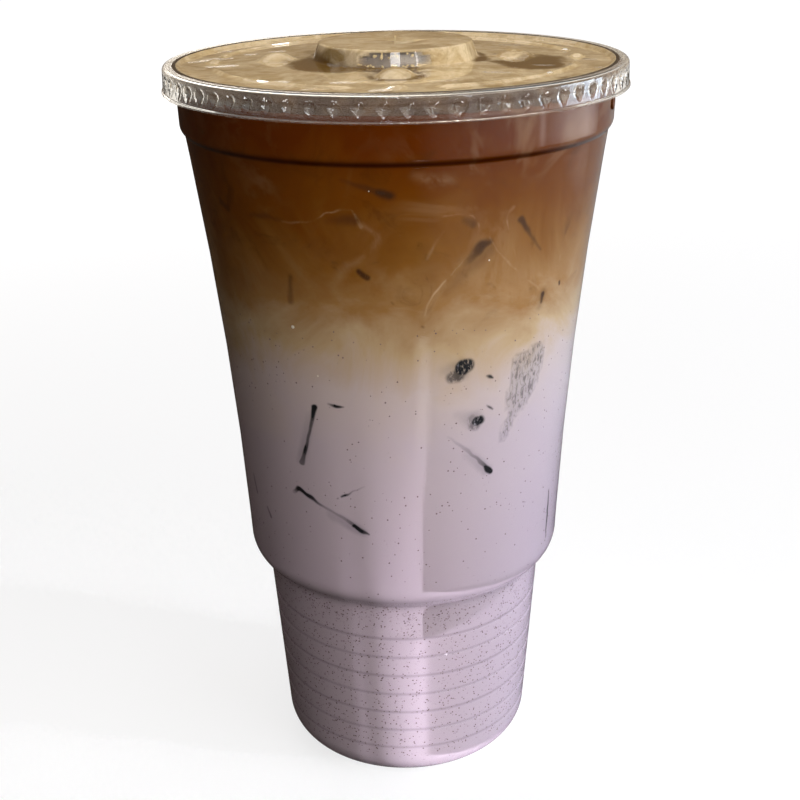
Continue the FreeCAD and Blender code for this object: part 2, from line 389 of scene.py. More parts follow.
def cube_grid(cells):
    """Points and faces of a cube from -1 to 1, closer together toward its edges."""
    shares = np.sin(np.linspace(-math.pi / 2, math.pi / 2, cells + 1))
    u, v = np.meshgrid(shares, shares, indexing="ij")
    points = []
    faces = []
    for axis in range(3):
        for side in (-1, 1):
            sheet = np.zeros((u.size, 3))
            sheet[:, axis] = side
            sheet[:, (axis + 1) % 3] = u.ravel()
            sheet[:, (axis + 2) % 3] = v.ravel()
            grid = np.arange(u.size).reshape(u.shape) + len(points) * u.size
            quads = [grid[:-1, :-1], grid[1:, :-1], grid[1:, 1:], grid[:-1, 1:]]
            if side < 0:
                quads.reverse()
            points.append(sheet)
            faces += np.stack([quad.ravel() for quad in quads], axis=1).tolist()
    return np.vstack(points), faces


class Chunk:
    """A chunk of ice whose corner touches the wall and whose edges run to two more places.

    A place is (azimuth in degrees, height, depth behind the wall).
    """

    def __init__(self, corner, along, across, thickness=14.0, melt=1.1, press=0.5):
        start, first, second = (on_wall(*spot) for spot in (corner, along, across))
        length = first - start
        width = second - start
        self.axes = np.zeros((3, 3))
        self.axes[0] = unit(length)
        width = width - self.axes[0] * (width @ self.axes[0])
        self.axes[1] = unit(width)
        inward = np.cross(self.axes[0], self.axes[1])
        middle = start + (length + width) / 2
        outward = np.array([middle[0], middle[1], 0])
        self.axes[2] = inward * -math.copysign(1, inward @ outward)
        sizes = np.array([np.linalg.norm(length), np.linalg.norm(width), thickness])
        self.half = sizes / 2 + melt * 0.3
        self.middle = middle + self.axes[2] * thickness / 2 + unit(outward) * press
        self.melt = min(melt, self.half.min() * 0.98)
        self.seed = int(abs(corner[0]) * 7 + corner[1])

    def mesh(self):
        """Points and faces of the chunk, with rounded edges and an uneven surface."""
        grid, faces = cube_grid(CHUNK_CELLS)
        local = grid * self.half
        core = np.clip(local, self.melt - self.half, self.half - self.melt)
        away = local - core
        length = np.linalg.norm(away, axis=1)[:, None]
        grown = self.melt / np.maximum(length, 1e-9)
        local = np.where(length > self.melt * 0.2, core + away * grown, local)
        world = local @ self.axes + self.middle
        outward = (local / self.half) @ self.axes
        outward /= np.linalg.norm(outward, axis=1)[:, None]
        world += outward * (ICE_BUMPS * ripple(world, ICE_BUMP_SIZE, self.seed))[:, None]
        return world, faces


def front_chunks():
    """The chunks that show at the front."""
    return [
        # Milk, left
        Chunk((-27.6, 111, 0), (-34.6, 95.5, 0), (-62, 107, 9)),
        Chunk((-20.6, 112.4, 0.1), (-7, 114, 6), (-21, 127, 6), melt=0.8),
        Chunk((-37.8, 87.8, 0), (-12, 78.7, 0), (-31, 66, 11)),
        Chunk((-20, 88.5, 0.1), (-12.5, 91.8, 0.5), (-17, 75, 10), melt=0.7),
        Chunk((-54, 76.7, 0.1), (-68, 70, 3), (-52, 62, 8), melt=1.0),
        Chunk((-63, 82.4, 0.1), (-82, 92, 4), (-64, 98, 7), melt=1.0),
        # Milk, right
        Chunk((18.5, 122.2, 0.2), (5, 118.5, 3.2), (15, 138, 7), melt=4.0, press=1.0),
        Chunk((27, 118.5, 0.2), (25.5, 108, 6), (38, 127, 7), melt=0.8),
        Chunk((24, 107.7, 0.2), (9.0, 112, 3.0), (22, 91, 7), melt=3.4, press=1.0),
        Chunk((29, 93.3, 0), (14.5, 104.6, 1.5), (34, 107, 9), melt=1.6, press=0.7),
        Chunk((34.5, 123.7, 0), (49, 122, 0), (33.8, 103, 0.3), thickness=9, melt=2.0),
        Chunk((63, 78.9, 0), (63.6, 64.7, 0), (87, 76, 9), melt=0.7, press=0.35),
        # Coffee, left
        Chunk((-3.2, 164.6, 0), (-14, 167.5, 0.7), (2, 150, 12), melt=1.4),
        Chunk((-11.5, 160.4, 0.2), (-30.8, 156.9, 0.9), (-6, 145, 5), melt=1.0),
        Chunk((-52.5, 157.8, 0.2), (-68, 150, 3), (-50, 145, 7), melt=1.4),
        Chunk((-9.6, 145.9, 0.3), (-17.8, 142, 1.0), (-3, 156, 1.4), thickness=9, melt=1.2),
        Chunk((-31, 143.4, 0.4), (-32, 135, 0.6), (-52, 143, 7), melt=0.8),
        # Coffee, right
        Chunk((22.2, 151.4, 0.1), (7, 136.6, 0.5), (45, 135.5, 0), melt=1.0, press=0.5),
        Chunk((33.8, 155.3, 0.1), (41.6, 147.6, 0.3), (56, 166, 6), melt=0.8),
        Chunk((19.6, 157.9, 0.4), (14, 159.5, 0.5), (25, 172, 8), melt=1.0),
        Chunk((53, 137.4, 0.1), (50.5, 146.6, 1.2), (73, 139, 7), melt=1.0),
    ]


def back_ice():
    """Likely chunks round the back, and the strokes of painted shade where they touch the wall."""
    draw = np.random.default_rng(5)
    placed = []
    strokes = []
    for index in range(BACK_CHUNKS):
        azimuth = BACK_START + index * BACK_PITCH + draw.uniform(-4, 4)
        height = (88, 150, 112, 136)[index % 4] + draw.uniform(-9, 9)
        slant = draw.uniform(0, TURN)
        cosine, sine = math.cos(slant), math.sin(slant)
        along = (azimuth + 17 * cosine, height + 14 * sine, draw.uniform(0, 1.5))
        across = (azimuth - 16 * sine, height + 13 * cosine, draw.uniform(5, 10))
        placed.append(Chunk((azimuth, height, 0.1), along, across, melt=draw.uniform(0.7, 1.6)))
        strokes.append(Stroke(
            (azimuth, height, draw.uniform(0.4, 1.1), 0.95),
            (azimuth + 5 * cosine, height + 4 * sine, 0.4, 0.7),
            (azimuth + 14 * cosine, height + 11 * sine, 0.3, draw.uniform(0.1, 0.6)),
        ))
    return placed, strokes


# Where ice touches the wall and shows as painted shade, and where cream runs down it

def rounded(spots):
    """The same line with its corners cut twice, and its ends kept."""
    for _ in range(2):
        early = spots[:-1] * 0.75 + spots[1:] * 0.25
        late = spots[:-1] * 0.25 + spots[1:] * 0.75
        cut = np.stack([early, late], axis=1).reshape(-1, spots.shape[1])
        spots = np.vstack([spots[:1], cut[1:-1], spots[-1:]])
    return spots


class Stroke:
    """A smooth stroke along the wall, by (azimuth, height, half width, strength) spots."""

    def __init__(self, *spots, blur=0.5):
        self.spots = rounded(np.array(spots, float))
        self.blur = blur

    def measure(self, places):
        """Its strength at places on the wall, and how far they are from its edge."""
        azimuth, height, radius = places
        strength = np.zeros(len(azimuth))
        nearest = np.full(len(azimuth), np.inf)
        for start, end in zip(self.spots, self.spots[1:]):
            aside = (azimuth - start[0] + 180) % 360 - 180
            away = np.stack([np.radians(aside) * radius, height - start[1]])
            run = np.stack([np.radians(end[0] - start[0]) * radius, 0 * height + end[1] - start[1]])
            share = np.clip((away * run).sum(axis=0) / (run * run).sum(axis=0), 0, 1)
            half = start[2] + (end[2] - start[2]) * share
            edge = np.linalg.norm(away - run * share, axis=0) - half
            fade = np.clip(0.5 - edge / self.blur, 0, 1)
            level = start[3] + (end[3] - start[3]) * share
            strength = np.maximum(strength, level * fade * fade * (3 - 2 * fade))
            nearest = np.minimum(nearest, edge)
        return strength, nearest


def milk_strokes():
    """Edges of ice in the milk, painted shade that is nearly black where they press on the wall, and
    wide soft strokes of painted shadow where the ice lies under thin milk.
    """
    return [
        Stroke((-27.5, 111.4, 0.8, 1.0), (-28.0, 109.9, 0.6, 1.0), (-29.0, 107.5, 0.4, 0.8),
               (-31.2, 102.0, 0.42, 0.75), (-32.4, 99.3, 0.65, 1.0), (-33.4, 97.3, 0.55, 0.75),
               (-34.4, 95.5, 0.75, 0.7)),
        Stroke((-29.2, 109, 1.0, 0.10), (-33.4, 98.2, 1.3, 0.28), (-35, 96.2, 1.1, 0.15), blur=1.6),
        Stroke((-22.6, 112.9, 0.2, 0.35), (-20.6, 112.5, 0.42, 1.0), (-19.1, 112.4, 0.42, 1.0),
               (-17.9, 112.6, 0.15, 0.8)),
        Stroke((-38.8, 86.7, 0.5, 0.3), (-37.4, 87.9, 0.6, 1.0), (-35.5, 87.8, 0.65, 1.0),
               (-32.0, 86.4, 0.5, 1.0), (-29.0, 85.2, 0.35, 0.75), (-26.9, 84.6, 0.3, 0.35),
               (-22.7, 83.3, 0.4, 0.42), (-18.6, 82.0, 0.5, 0.5), (-17.2, 81.3, 0.45, 0.75)),
        Stroke((-16.6, 80.8, 0.55, 1.0), (-14.1, 79.6, 0.55, 1.0), (-11.6, 78.5, 0.2, 0.8)),
        Stroke((-24.8, 83.0, 1.2, 0.16), (-16.6, 80.4, 1.5, 0.30), (-13.5, 79.0, 1.0, 0.2), blur=1.8),
        Stroke((-21.9, 87.7, 0.2, 0.5), (-21.5, 87.9, 0.2, 0.5)),
        Stroke((-20.3, 88.4, 0.25, 0.9), (-18.8, 89.0, 0.42, 1.0), (-17.4, 89.6, 0.15, 0.5),
               (-12.5, 91.7, 0.12, 0.22)),
        Stroke((-55.2, 77.9, 0.35, 0.4), (-53.5, 75.9, 0.4, 0.55)),
        Stroke((-64.0, 84.8, 0.35, 0.35), (-62.4, 80.3, 0.45, 0.5)),
        Stroke((29.4, 93.0, 0.7, 1.0), (28.0, 94.3, 0.9, 1.0), (27.0, 95.4, 0.5, 0.75),
               (23.8, 97.8, 0.45, 0.5), (20.2, 100.7, 0.4, 0.3), (14.2, 104.5, 0.3, 0.1)),
        Stroke((27.5, 94.2, 1.4, 0.25), (21.2, 99.2, 1.3, 0.12), blur=2.0),
        Stroke((26.1, 118.9, 0.15, 0.6), (27.2, 118.6, 0.42, 1.0), (28.3, 118.2, 0.2, 0.9)),
        Stroke((26.8, 111.4, 0.12, 0.5), (27.7, 110.7, 0.3, 1.0), (28.8, 110.0, 0.2, 0.7)),
        Stroke((62.4, 79.3, 0.3, 0.5), (62.8, 74.8, 0.45, 0.85), (63.0, 69.8, 0.4, 0.8),
               (63.5, 65.2, 0.3, 0.5)),
        Stroke((17.1, 121.6, 2.7, 0.30), (12.2, 121.8, 1.2, 0.12), blur=2.4),
        Stroke((22.4, 108.2, 2.3, 0.28), (17.3, 109.9, 1.0, 0.12), blur=2.4),
    ]


def scratched_strokes():
    """Rounded ends of ice against the wall, in dark painted shade with pale scratches."""
    return [
        Stroke((19.1, 122.3, 2.0, 1.0), (18.2, 122.0, 2.1, 1.0), blur=0.9),
        Stroke((15.1, 119.9, 1.5, 0.75), (16.6, 120.2, 1.8, 0.85), blur=1.3),
        Stroke((24.5, 107.7, 1.3, 1.0), (23.6, 107.6, 1.45, 1.0), blur=0.8),
        Stroke((21.8, 108.4, 1.3, 0.5), (22.8, 107.0, 1.7, 0.65), blur=1.3),
    ]


def coffee_strokes():
    """Ice in the coffee, with softer and browner marks of painted shade than in the milk."""
    return [
        Stroke((-4.8, 164.7, 0.8, 0.95), (-2.0, 164.0, 1.0, 0.95), blur=1.5),
        Stroke((-5.5, 165.0, 0.8, 0.6), (-9.7, 166.1, 0.6, 0.5), (-14.0, 167.3, 0.3, 0.2), blur=0.9),
        Stroke((-18.0, 157.9, 0.7, 0.22), (-14.0, 158.5, 1.1, 0.45), (-11.0, 158.3, 1.0, 0.6), blur=1.8),
        Stroke((-54.5, 158.2, 0.8, 0.45), (-50.9, 157.0, 0.6, 0.4), blur=1.2),
        Stroke((-41.5, 157.0, 0.5, 0.25), (-35.3, 157.5, 0.6, 0.42), (-31.0, 156.9, 0.4, 0.2), blur=1.2),
        Stroke((-30.8, 143.7, 0.5, 0.5), (-31.7, 137.8, 0.8, 0.42), blur=1.2),
        Stroke((-10.6, 146.4, 0.6, 0.9), (-8.4, 145.1, 0.65, 0.85), blur=0.8),
        Stroke((16.8, 157.6, 0.6, 0.35), (19.0, 156.6, 1.0, 0.55), blur=1.3),
        Stroke((24.1, 151.8, 0.8, 0.8), (21.9, 151.4, 1.3, 0.95), (20.0, 149.2, 1.3, 0.7),
               (17.6, 147.0, 0.6, 0.25), blur=1.5),
        Stroke((24.5, 149.9, 1.2, 0.3), (19.0, 146.6, 1.6, 0.25), (12.7, 141.4, 0.9, 0.1), blur=2.4),
        Stroke((45.0, 136.2, 0.7, 0.95), (44.5, 134.4, 0.55, 0.8), blur=0.7),
        Stroke((45.0, 136.4, 1.2, 0.3), (44.0, 133.4, 1.0, 0.22), blur=1.5),
        Stroke((33.2, 156.0, 0.75, 0.85), (35.3, 153.8, 0.65, 0.85), (37.7, 151.3, 0.32, 0.5),
               (41.7, 147.6, 0.3, 0.45), blur=0.8),
        Stroke((52.8, 137.6, 0.35, 0.9), (53.1, 137.1, 0.35, 0.9)),
        Stroke((-2.1, 139.4, 0.25, 0.3), (-1.7, 139.0, 0.25, 0.3)),
        Stroke((6.1, 133.1, 0.3, 0.35), (6.6, 132.9, 0.3, 0.35)),
    ]


def cream_strokes():
    """Milk drawn up in thin pale lines round the ice."""
    return [
        Stroke((-31.0, 156.6, 0.2, 0.15), (-22.5, 157.3, 0.15, 0.45), (-20.3, 158.5, 0.12, 0.75),
               (-17.6, 159.8, 0.1, 0.8), (-14.5, 160.6, 0.12, 0.8), (-11.4, 160.6, 0.18, 0.9),
               (-10.4, 159.0, 0.3, 0.95), (-9.3, 156.6, 0.4, 0.5), blur=0.55),
        Stroke((-9.4, 157.2, 0.3, 0.35), (-4.6, 155.0, 0.4, 0.3), (-6.5, 152.0, 0.4, 0.4),
               (-10.0, 149.5, 0.4, 0.3), (-15.4, 146.5, 0.8, 0.22), (-17.8, 142.0, 1.0, 0.12), blur=2.6),
        Stroke((22.3, 152.7, 0.15, 0.6), (20.0, 151.0, 0.12, 0.5), (17.0, 148.0, 0.12, 0.4),
               (12.1, 143.8, 0.2, 0.7), (9.9, 141.7, 0.28, 1.0), (8.3, 139.8, 0.18, 0.7),
               (6.8, 136.0, 0.3, 0.6), blur=0.55),
        Stroke((6.8, 136.0, 1.0, 0.25), (12.7, 144.4, 1.0, 0.2), (18.4, 149.4, 1.0, 0.15), blur=2.4),
        Stroke((24.0, 153.0, 0.12, 0.6), (26.4, 149.9, 0.12, 0.5), (29.7, 146.8, 0.28, 0.45),
               (35.6, 142.4, 0.3, 0.45), (43.2, 137.8, 0.25, 0.35), blur=0.9),
        Stroke((1.5, 158.6, 0.2, 0.1), (8.3, 158.6, 0.2, 0.25), (15.0, 159.1, 0.12, 0.55),
               (19.2, 158.4, 0.12, 0.6), (20.8, 156.6, 0.18, 0.4), (21.2, 154.3, 0.18, 0.35), blur=0.6),
        Stroke((11.6, 155.4, 0.18, 0.35), (9.1, 152.6, 0.18, 0.4), (7.1, 149.2, 0.3, 0.2), blur=0.8),
        Stroke((30.4, 159.2, 0.4, 0.25), (28.5, 157.8, 0.25, 0.5), (29.2, 154.4, 0.18, 0.45),
               (31.0, 151.2, 0.18, 0.35), (33.0, 147.1, 0.18, 0.2), blur=0.8),
        Stroke((51.0, 144.2, 0.3, 0.25), (52.9, 138.6, 0.2, 0.35), blur=0.9),
        Stroke((4.0, 168.0, 0.8, 0.15), (7.8, 166.8, 1.2, 0.4), (13.0, 167.0, 0.8, 0.2), blur=3.0),
        Stroke((-1.3, 138.0, 0.4, 0.25), (2.7, 137.6, 0.3, 0.3), (6.8, 136.3, 0.3, 0.35), blur=1.4),
    ]


# A flat face of ice pressed on the wall, where the drink is painted grey with shade, by its (azimuth,
# height) corners
FACE = [
    (45.8, 124.3), (48.6, 123.6), (49.0, 117.8), (47.0, 112.7), (42.2, 108.0),
    (37.6, 106.4), (36.9, 103.6), (33.8, 100.2), (32.2, 100.5), (32.8, 104.8),
    (35.0, 107.4), (33.4, 110.8), (34.7, 115.1), (34.5, 122.4), (38.7, 122.7),
]


def inside(corners, azimuth, height):
    """Whether places on the wall are within a closed outline."""
    within = np.zeros(len(azimuth), bool)
    for (first, low), (second, high) in zip(corners, corners[1:] + corners[:1]):
        crossed = (low > height) != (high > height)
        within ^= crossed & (azimuth < first + (second - first) * (height - low) / (high - low))
    return within


def strongest(strokes, places):
    """The strongest of some strokes at each place, and the distance to the nearest."""
    measured = [stroke.measure(places) for stroke in strokes]
    strength = np.max([each[0] for each in measured], axis=0)
    nearest = np.min([each[1] for each in measured], axis=0)
    return strength, nearest


def wall_places(points):
    """Azimuth and height of points, each a little shaken, and their radius."""
    shakes = [ripple(points, SHAKE_SIZE, seed) for seed in (31, 32, 33)]
    shaken = points + SHAKE * np.stack(shakes, axis=1)
    azimuth = np.degrees(np.arctan2(shaken[:, 0], -shaken[:, 1]))
    return azimuth, shaken[:, 2], np.hypot(points[:, 0], points[:, 1])


BACK_CHUNKS_PLACED, BACK_STROKES = back_ice()
ICE = front_chunks() + BACK_CHUNKS_PLACED
DARK_STROKES = milk_strokes() + coffee_strokes() + BACK_STROKES
SCRATCHED_STROKES = scratched_strokes()
CREAM_STROKES = cream_strokes()
FACE_EDGE = Stroke(*[(*corner, 0, 1) for corner in FACE + FACE[:1]])


# Materials

def link_or_set(tree, socket, value):
    if isinstance(value, bpy.types.NodeSocket):
        tree.links.new(value, socket)
    else:
        socket.default_value = value


def add(tree, kind, inputs=None, **settings):
    """A node with its settings, and inputs by name or number, each a value or a socket."""
    node = tree.nodes.new("ShaderNode" + kind)
    for key, value in settings.items():
        setattr(node, key, value)
    for key, value in (inputs or {}).items():
        link_or_set(tree, node.inputs[key], value)
    return node


def maths(tree, operation, *values):
    node = add(tree, "Math", dict(enumerate(values)), operation=operation)
    return node.outputs[0]


def times(tree, first, second):
    return maths(tree, "MULTIPLY", first, second)


def own_place(tree):
    """Where a point is, in metres, as pieces aren't moved."""
    return add(tree, "TexCoord").outputs["Object"]


def mixed(tree, share, first, second):
    inputs = {0: share, 6: first, 7: second}
    return add(tree, "Mix", inputs, data_type="RGBA").outputs[2]


def noise(tree, scale, detail=3.0, roughness=0.5, place=None, distortion=0.0):
    """Noise in the object's own place, at a scale per metre."""
    place = place or own_place(tree)
    inputs = {"Vector": place, "Scale": scale, "Detail": detail}
    inputs |= {"Roughness": roughness, "Distortion": distortion}
    return add(tree, "TexNoise", inputs).outputs[0]


def ranged(tree, value, low, high, to_low=0.0, to_high=1.0):
    inputs = {0: value, 1: low, 2: high, 3: to_low, 4: to_high}
    return add(tree, "MapRange", inputs, interpolation_type="SMOOTHSTEP").outputs[0]


def attribute(tree, name):
    return add(tree, "Attribute", attribute_name=name).outputs["Fac"]


def ramp(tree, value, stops):
    """A colour ramp of (place, colour) stops."""
    node = add(tree, "ValToRGB", {0: value})
    elements = node.color_ramp.elements
    while len(elements) < len(stops):
        elements.new(0.5)
    for element, (place, colour) in zip(elements, stops):
        element.position = place
        element.color = (*colour, 1)
    return node.outputs[0]


def material(name, **sockets):
    """A material's tree and its Principled shader, with constants on its own sockets."""
    made = bpy.data.materials.new(name)
    made.use_nodes = True
    tree = made.node_tree
    shader = tree.nodes["Principled BSDF"]
    for key, value in sockets.items():
        link_or_set(tree, shader.inputs[key.replace("_", " ")], value)
    return made, tree, shader


def paint(tree, shader, colour):
    link_or_set(tree, shader.inputs["Base Color"], colour)


def roughen(tree, shader, height, strength, distance):
    """Small bumps, as high as a distance in metres."""
    inputs = {"Strength": strength, "Distance": distance, "Height": height}
    bump = add(tree, "Bump", inputs).outputs[0]
    link_or_set(tree, shader.inputs["Normal"], bump)


def finish(tree, shader):
    """What the material shows in place of its Principled shader alone."""
    tree.links.new(shader.outputs[0], tree.nodes["Material Output"].inputs[0])


def clear_plastic(name, colour, roughness, bump):
    """Thin clear plastic, which lets the lamps through to what is behind it."""
    made, tree, shader = material(
        name, Base_Color=(*colour, 1), Roughness=roughness, IOR=1.45, Transmission_Weight=1.0
    )
    roughen(tree, shader, noise(tree, 260, 2.0), bump, 0.0002)
    shadow = add(tree, "LightPath").outputs["Is Shadow Ray"]
    through = add(tree, "BsdfTransparent", {0: (0.94, 0.94, 0.94, 1)})
    both = add(tree, "MixShader", {0: shadow, 1: shader.outputs[0], 2: through.outputs[0]})
    finish(tree, both)
    return made


def drink_colours(tree):
    """Coffee above and milk below, uneven where they meet."""
    axes = add(tree, "SeparateXYZ", {0: own_place(tree)}).outputs
    cloud = maths(tree, "SUBTRACT", noise(tree, 38, 5.0, 0.6, distortion=0.9), 0.5)
    waver = maths(tree, "MULTIPLY_ADD", cloud, 0.034, axes[2])
    level = maths(tree, "MULTIPLY_ADD", axes[0], -0.045, waver)
    share = ranged_height(tree, level)
    stops = [
        (0.00, (0.500, 0.418, 0.450)),
        (0.34, (0.520, 0.430, 0.470)),
        (0.55, (0.560, 0.470, 0.490)),
        (0.640, (0.590, 0.490, 0.455)),
        (0.705, (0.520, 0.375, 0.215)),
        (0.765, (0.355, 0.185, 0.060)),
        (0.825, (0.265, 0.110, 0.019)),
        (0.885, (0.190, 0.056, 0.003)),
        (0.985, (0.130, 0.026, 0.001)),
    ]
    return ramp(tree, share, stops)


def ranged_height(tree, height):
    """A height in metres as a share of the drink's."""
    inputs = {0: height, 1: 0.0, 2: COFFEE_LEVEL * MM}
    return add(tree, "MapRange", inputs).outputs[0]


def between(tree, value, start, full, end, gone):
    """1 between full and end, 0 before start and after gone."""
    rise = ranged(tree, value, start, full)
    return times(tree, rise, ranged(tree, value, end, gone, 1.0, 0.0))


def lines_at(tree, height, places, half):
    """1 on thin level lines at heights in millimetres, 0 past half a width."""
    whole = 0.0
    for place in places:
        away = maths(tree, "ABSOLUTE", maths(tree, "SUBTRACT", height, place * MM))
        whole = maths(tree, "MAXIMUM", whole, ranged(tree, away, 0.0, half * MM, 1.0, 0.0))
    return whole


def creamed(tree, colour, height):
    """Pale lines and veins of milk in the coffee, and darker clouds."""
    in_coffee = ranged(tree, height, 0.128, 0.142)
    wisps = noise(tree, 110, 5.0, 0.65, distortion=0.8)
    folds = noise(tree, 40, 5.0, 0.6, distortion=0.7)
    ridge = maths(tree, "ABSOLUTE", maths(tree, "SUBTRACT", folds, 0.5))
    veins = ranged(tree, ridge, 0.0, 0.09, 0.20, 0.0)
    patches = ranged(tree, noise(tree, 30, 2.0), 0.42, 0.66)
    veins = times(tree, veins, patches)
    broken = ranged(tree, wisps, 0.38, 0.60, 0.05, 1.0)
    drawn = times(tree, attribute(tree, "cream"), broken)
    cream = times(tree, maths(tree, "MAXIMUM", veins, drawn), in_coffee)
    pale = mixed(tree, 0.62, colour, (0.72, 0.52, 0.30, 1))
    clouds = times(tree, ranged(tree, wisps, 0.56, 0.74, 0.0, 0.45), in_coffee)
    colour = mixed(tree, clouds, colour, (0.085, 0.026, 0.002, 1))
    return mixed(tree, cream, colour, pale)


def creased(tree, colour, height):
    """Thin shade in the grip lines, under the shoulder and in the step of the band."""
    grooves = [GROOVE_FIRST + index * GROOVE_PITCH for index in range(GROOVE_COUNT)]
    grip = times(tree, lines_at(tree, height, grooves, 0.75), 0.34)
    step = lines_at(tree, height, [BAND_START + BAND_STEP_RISE / 2], 1.1)
    colour = mixed(tree, times(tree, step, 0.85), colour, (0.035, 0.004, 0.0, 1))
    ledge = between(tree, height, 0.0535, 0.0572, 0.0585, 0.0610)
    shade = maths(tree, "MAXIMUM", grip, times(tree, ledge, 0.30))
    dark = mixed(tree, 0.72, colour, (0.020, 0.010, 0.008, 1))
    return mixed(tree, shade, colour, dark)


def grounds_in(tree, colour, height):
    """Grounds too fine to be pieces, thickest in the base and just under the shoulder."""
    fine = noise(tree, 1150, 3.0, 0.75)
    in_base = ranged(tree, height, 0.050, 0.064, 0.055, 0.0)
    under = between(tree, height, 0.040, 0.054, 0.057, 0.060)
    reach = maths(tree, "MULTIPLY_ADD", under, 0.035, in_base)
    grain = ranged(tree, maths(tree, "ADD", fine, reach), 0.66, 0.78, 0.0, 0.62)
    grain = times(tree, grain, ranged(tree, height, 0.124, 0.136, 1.0, 0.25))
    return mixed(tree, grain, colour, (0.20, 0.13, 0.13, 1))


# Painted shade: the unlit inside of the drink seen through clear ice at the wall, against milk and
# against coffee
ICE_SHADE_IN_MILK = (0.014, 0.014, 0.016, 1)
ICE_SHADE_IN_COFFEE = (0.058, 0.024, 0.010, 1)


def ice_look(tree, dark, pale):
    """Ice painted dark with the shade of the drink's unlit inside seen through it, with pale scratches
    where its frost value is high.
    """
    flat = add(tree, "Mapping", {"Vector": own_place(tree), "Scale": (1.0, 1.0, 0.45)}).outputs[0]
    hatch = noise(tree, 1500, 3.0, 0.6, place=flat, distortion=0.5)
    raised = maths(tree, "MULTIPLY_ADD", attribute(tree, "frost"), 0.30, hatch)
    return mixed(tree, ranged(tree, raised, 0.60, 0.86), dark, pale)


def drink_material(name):
    made, tree, shader = material(name, Roughness=0.4, IOR=1.33, Specular_IOR_Level=0.0)
    height = add(tree, "SeparateXYZ", {0: own_place(tree)}).outputs[2]
    colour = creamed(tree, drink_colours(tree), height)
    colour = grounds_in(tree, colour, height)
    colour = creased(tree, colour, height)
    # Where ice touches the wall, painted shade of the drink's unlit inside, seen through the ice, takes
    # the place of the drink's colour
    in_coffee = ranged(tree, height, 0.126, 0.136)
    dark = mixed(tree, in_coffee, ICE_SHADE_IN_MILK, ICE_SHADE_IN_COFFEE)
    pale = mixed(tree, 0.30, colour, (0.06, 0.07, 0.09, 1))
    look = ice_look(tree, dark, pale)
    paint(tree, shader, mixed(tree, attribute(tree, "ice"), colour, look))
    return made


def ice_material():
    """Clear ice painted with the shade of the dark inside of the drink behind it, with pale scratches.
    """
    made, tree, shader = material("ice", Roughness=0.3, IOR=1.31, Specular_IOR_Level=0.1)
    coffee = attribute(tree, "coffee")
    dark = mixed(tree, coffee, ICE_SHADE_IN_MILK, ICE_SHADE_IN_COFFEE)
    pale = mixed(tree, coffee, (0.36, 0.33, 0.35, 1), (0.20, 0.12, 0.05, 1))
    paint(tree, shader, ice_look(tree, dark, pale))
    return made


def foam_material():
    made, tree, shader = material("foam", Roughness=0.5, IOR=1.33, Specular_IOR_Level=0.1)
    patches = noise(tree, 60, 5.0, 0.6, distortion=1.2)
    grain = noise(tree, 1500, 4.0, 0.65)
    streaks = noise(tree, 150, 4.0, 0.6, distortion=1.5)
    streaked = ranged(tree, streaks, 0.35, 0.65)
    tan = mixed(tree, streaked, (0.68, 0.56, 0.37, 1), (0.50, 0.375, 0.20, 1))
    damp = mixed(tree, ranged(tree, patches, 0.52, 0.72), tan, (0.37, 0.265, 0.125, 1))
    soaked = maths(tree, "MULTIPLY_ADD", streaks, 0.5, attribute(tree, "wet"))
    wet = mixed(tree, ranged(tree, soaked, 0.50, 0.95), damp, (0.150, 0.082, 0.016, 1))
    holes = ranged(tree, grain, 0.52, 0.72, 0.0, 0.45)
    bubbly = mixed(tree, holes, wet, (0.26, 0.17, 0.07, 1))
    # Painted shade: the foam behind the air pocket in the boss's wall is greyed
    pocket = mixed(tree, attribute(tree, "pocket"), bubbly, (0.30, 0.26, 0.23, 1))
    mottled = ranged(tree, patches, 0.40, 0.66)
    side = mixed(tree, mottled, (0.090, 0.048, 0.030, 1), (0.20, 0.122, 0.072, 1))
    paint(tree, shader, mixed(tree, attribute(tree, "side"), pocket, side))
    roughen(tree, shader, grain, 0.45, 0.0004)
    return made


# Pieces

def keep_values(piece, name, values):
    attribute_made = piece.data.attributes.new(name, "FLOAT", "POINT")
    attribute_made.data.foreach_set("value", np.asarray(values, np.float32))


def places_of(piece):
    points = np.zeros(len(piece.data.vertices) * 3, np.float32)
    piece.data.vertices.foreach_get("co", points)
    return points.reshape(-1, 3).astype(float) / MM


def make_cup():
    corners = cup_corners()
    mouth = CUP_INSIDE[CUP_INSIDE[:, 1] < CUP_HEIGHT - 0.2]
    rim = [
        (BAND_TOP_RADIUS, CUP_HEIGHT - RIM_DEPTH, 0.2),
        (RIM_RADIUS, CUP_HEIGHT - RIM_DEPTH, RIM_FILLET),
        (RIM_RADIUS, CUP_HEIGHT, RIM_FILLET),
        (BAND_TOP_RADIUS - CUP_WALL, CUP_HEIGHT, 0),
    ]
    outside = with_grooves(outline(corners[:-1] + rim))
    inside = filled_in(mouth, 3.0)[::-1]
    points, faces = revolved(np.vstack([outside, inside]), CUP_COLUMNS)
    plastic = clear_plastic("cup_plastic", (0.98, 0.98, 0.98), 0.03, 0.02)
    shown("cup_shell", points, faces, plastic, ["cup"])


def refined(piece):
    """Finer faces on the drink's side near the strokes, put back on its curve."""
    mesh = piece.data
    for reach in (3.0, 1.6, 0.8):
        work = bmesh.new()
        work.from_mesh(mesh)
        places = wall_places(np.array([vert.co[:] for vert in work.verts]) / MM)
        near = strongest(DARK_STROKES + SCRATCHED_STROKES + CREAM_STROKES, places)[1] < reach
        near |= inside(FACE, places[0], places[1])
        chosen = near & (places[2] > drink_radius(places[1]) - 0.1)
        edges = [edge for edge in work.edges if all(chosen[vert.index] for vert in edge.verts)]
        bmesh.ops.subdivide_edges(work, edges=edges, cuts=1, use_grid_fill=True)
        for vert in work.verts:
            radius = math.hypot(vert.co.x, vert.co.y)
            wall = float(drink_radius(vert.co.z / MM)) * MM
            if abs(radius - wall) < 0.15 * MM:
                vert.co.x *= wall / radius
                vert.co.y *= wall / radius
        work.to_mesh(mesh)
        work.free()
    mesh.shade_smooth()


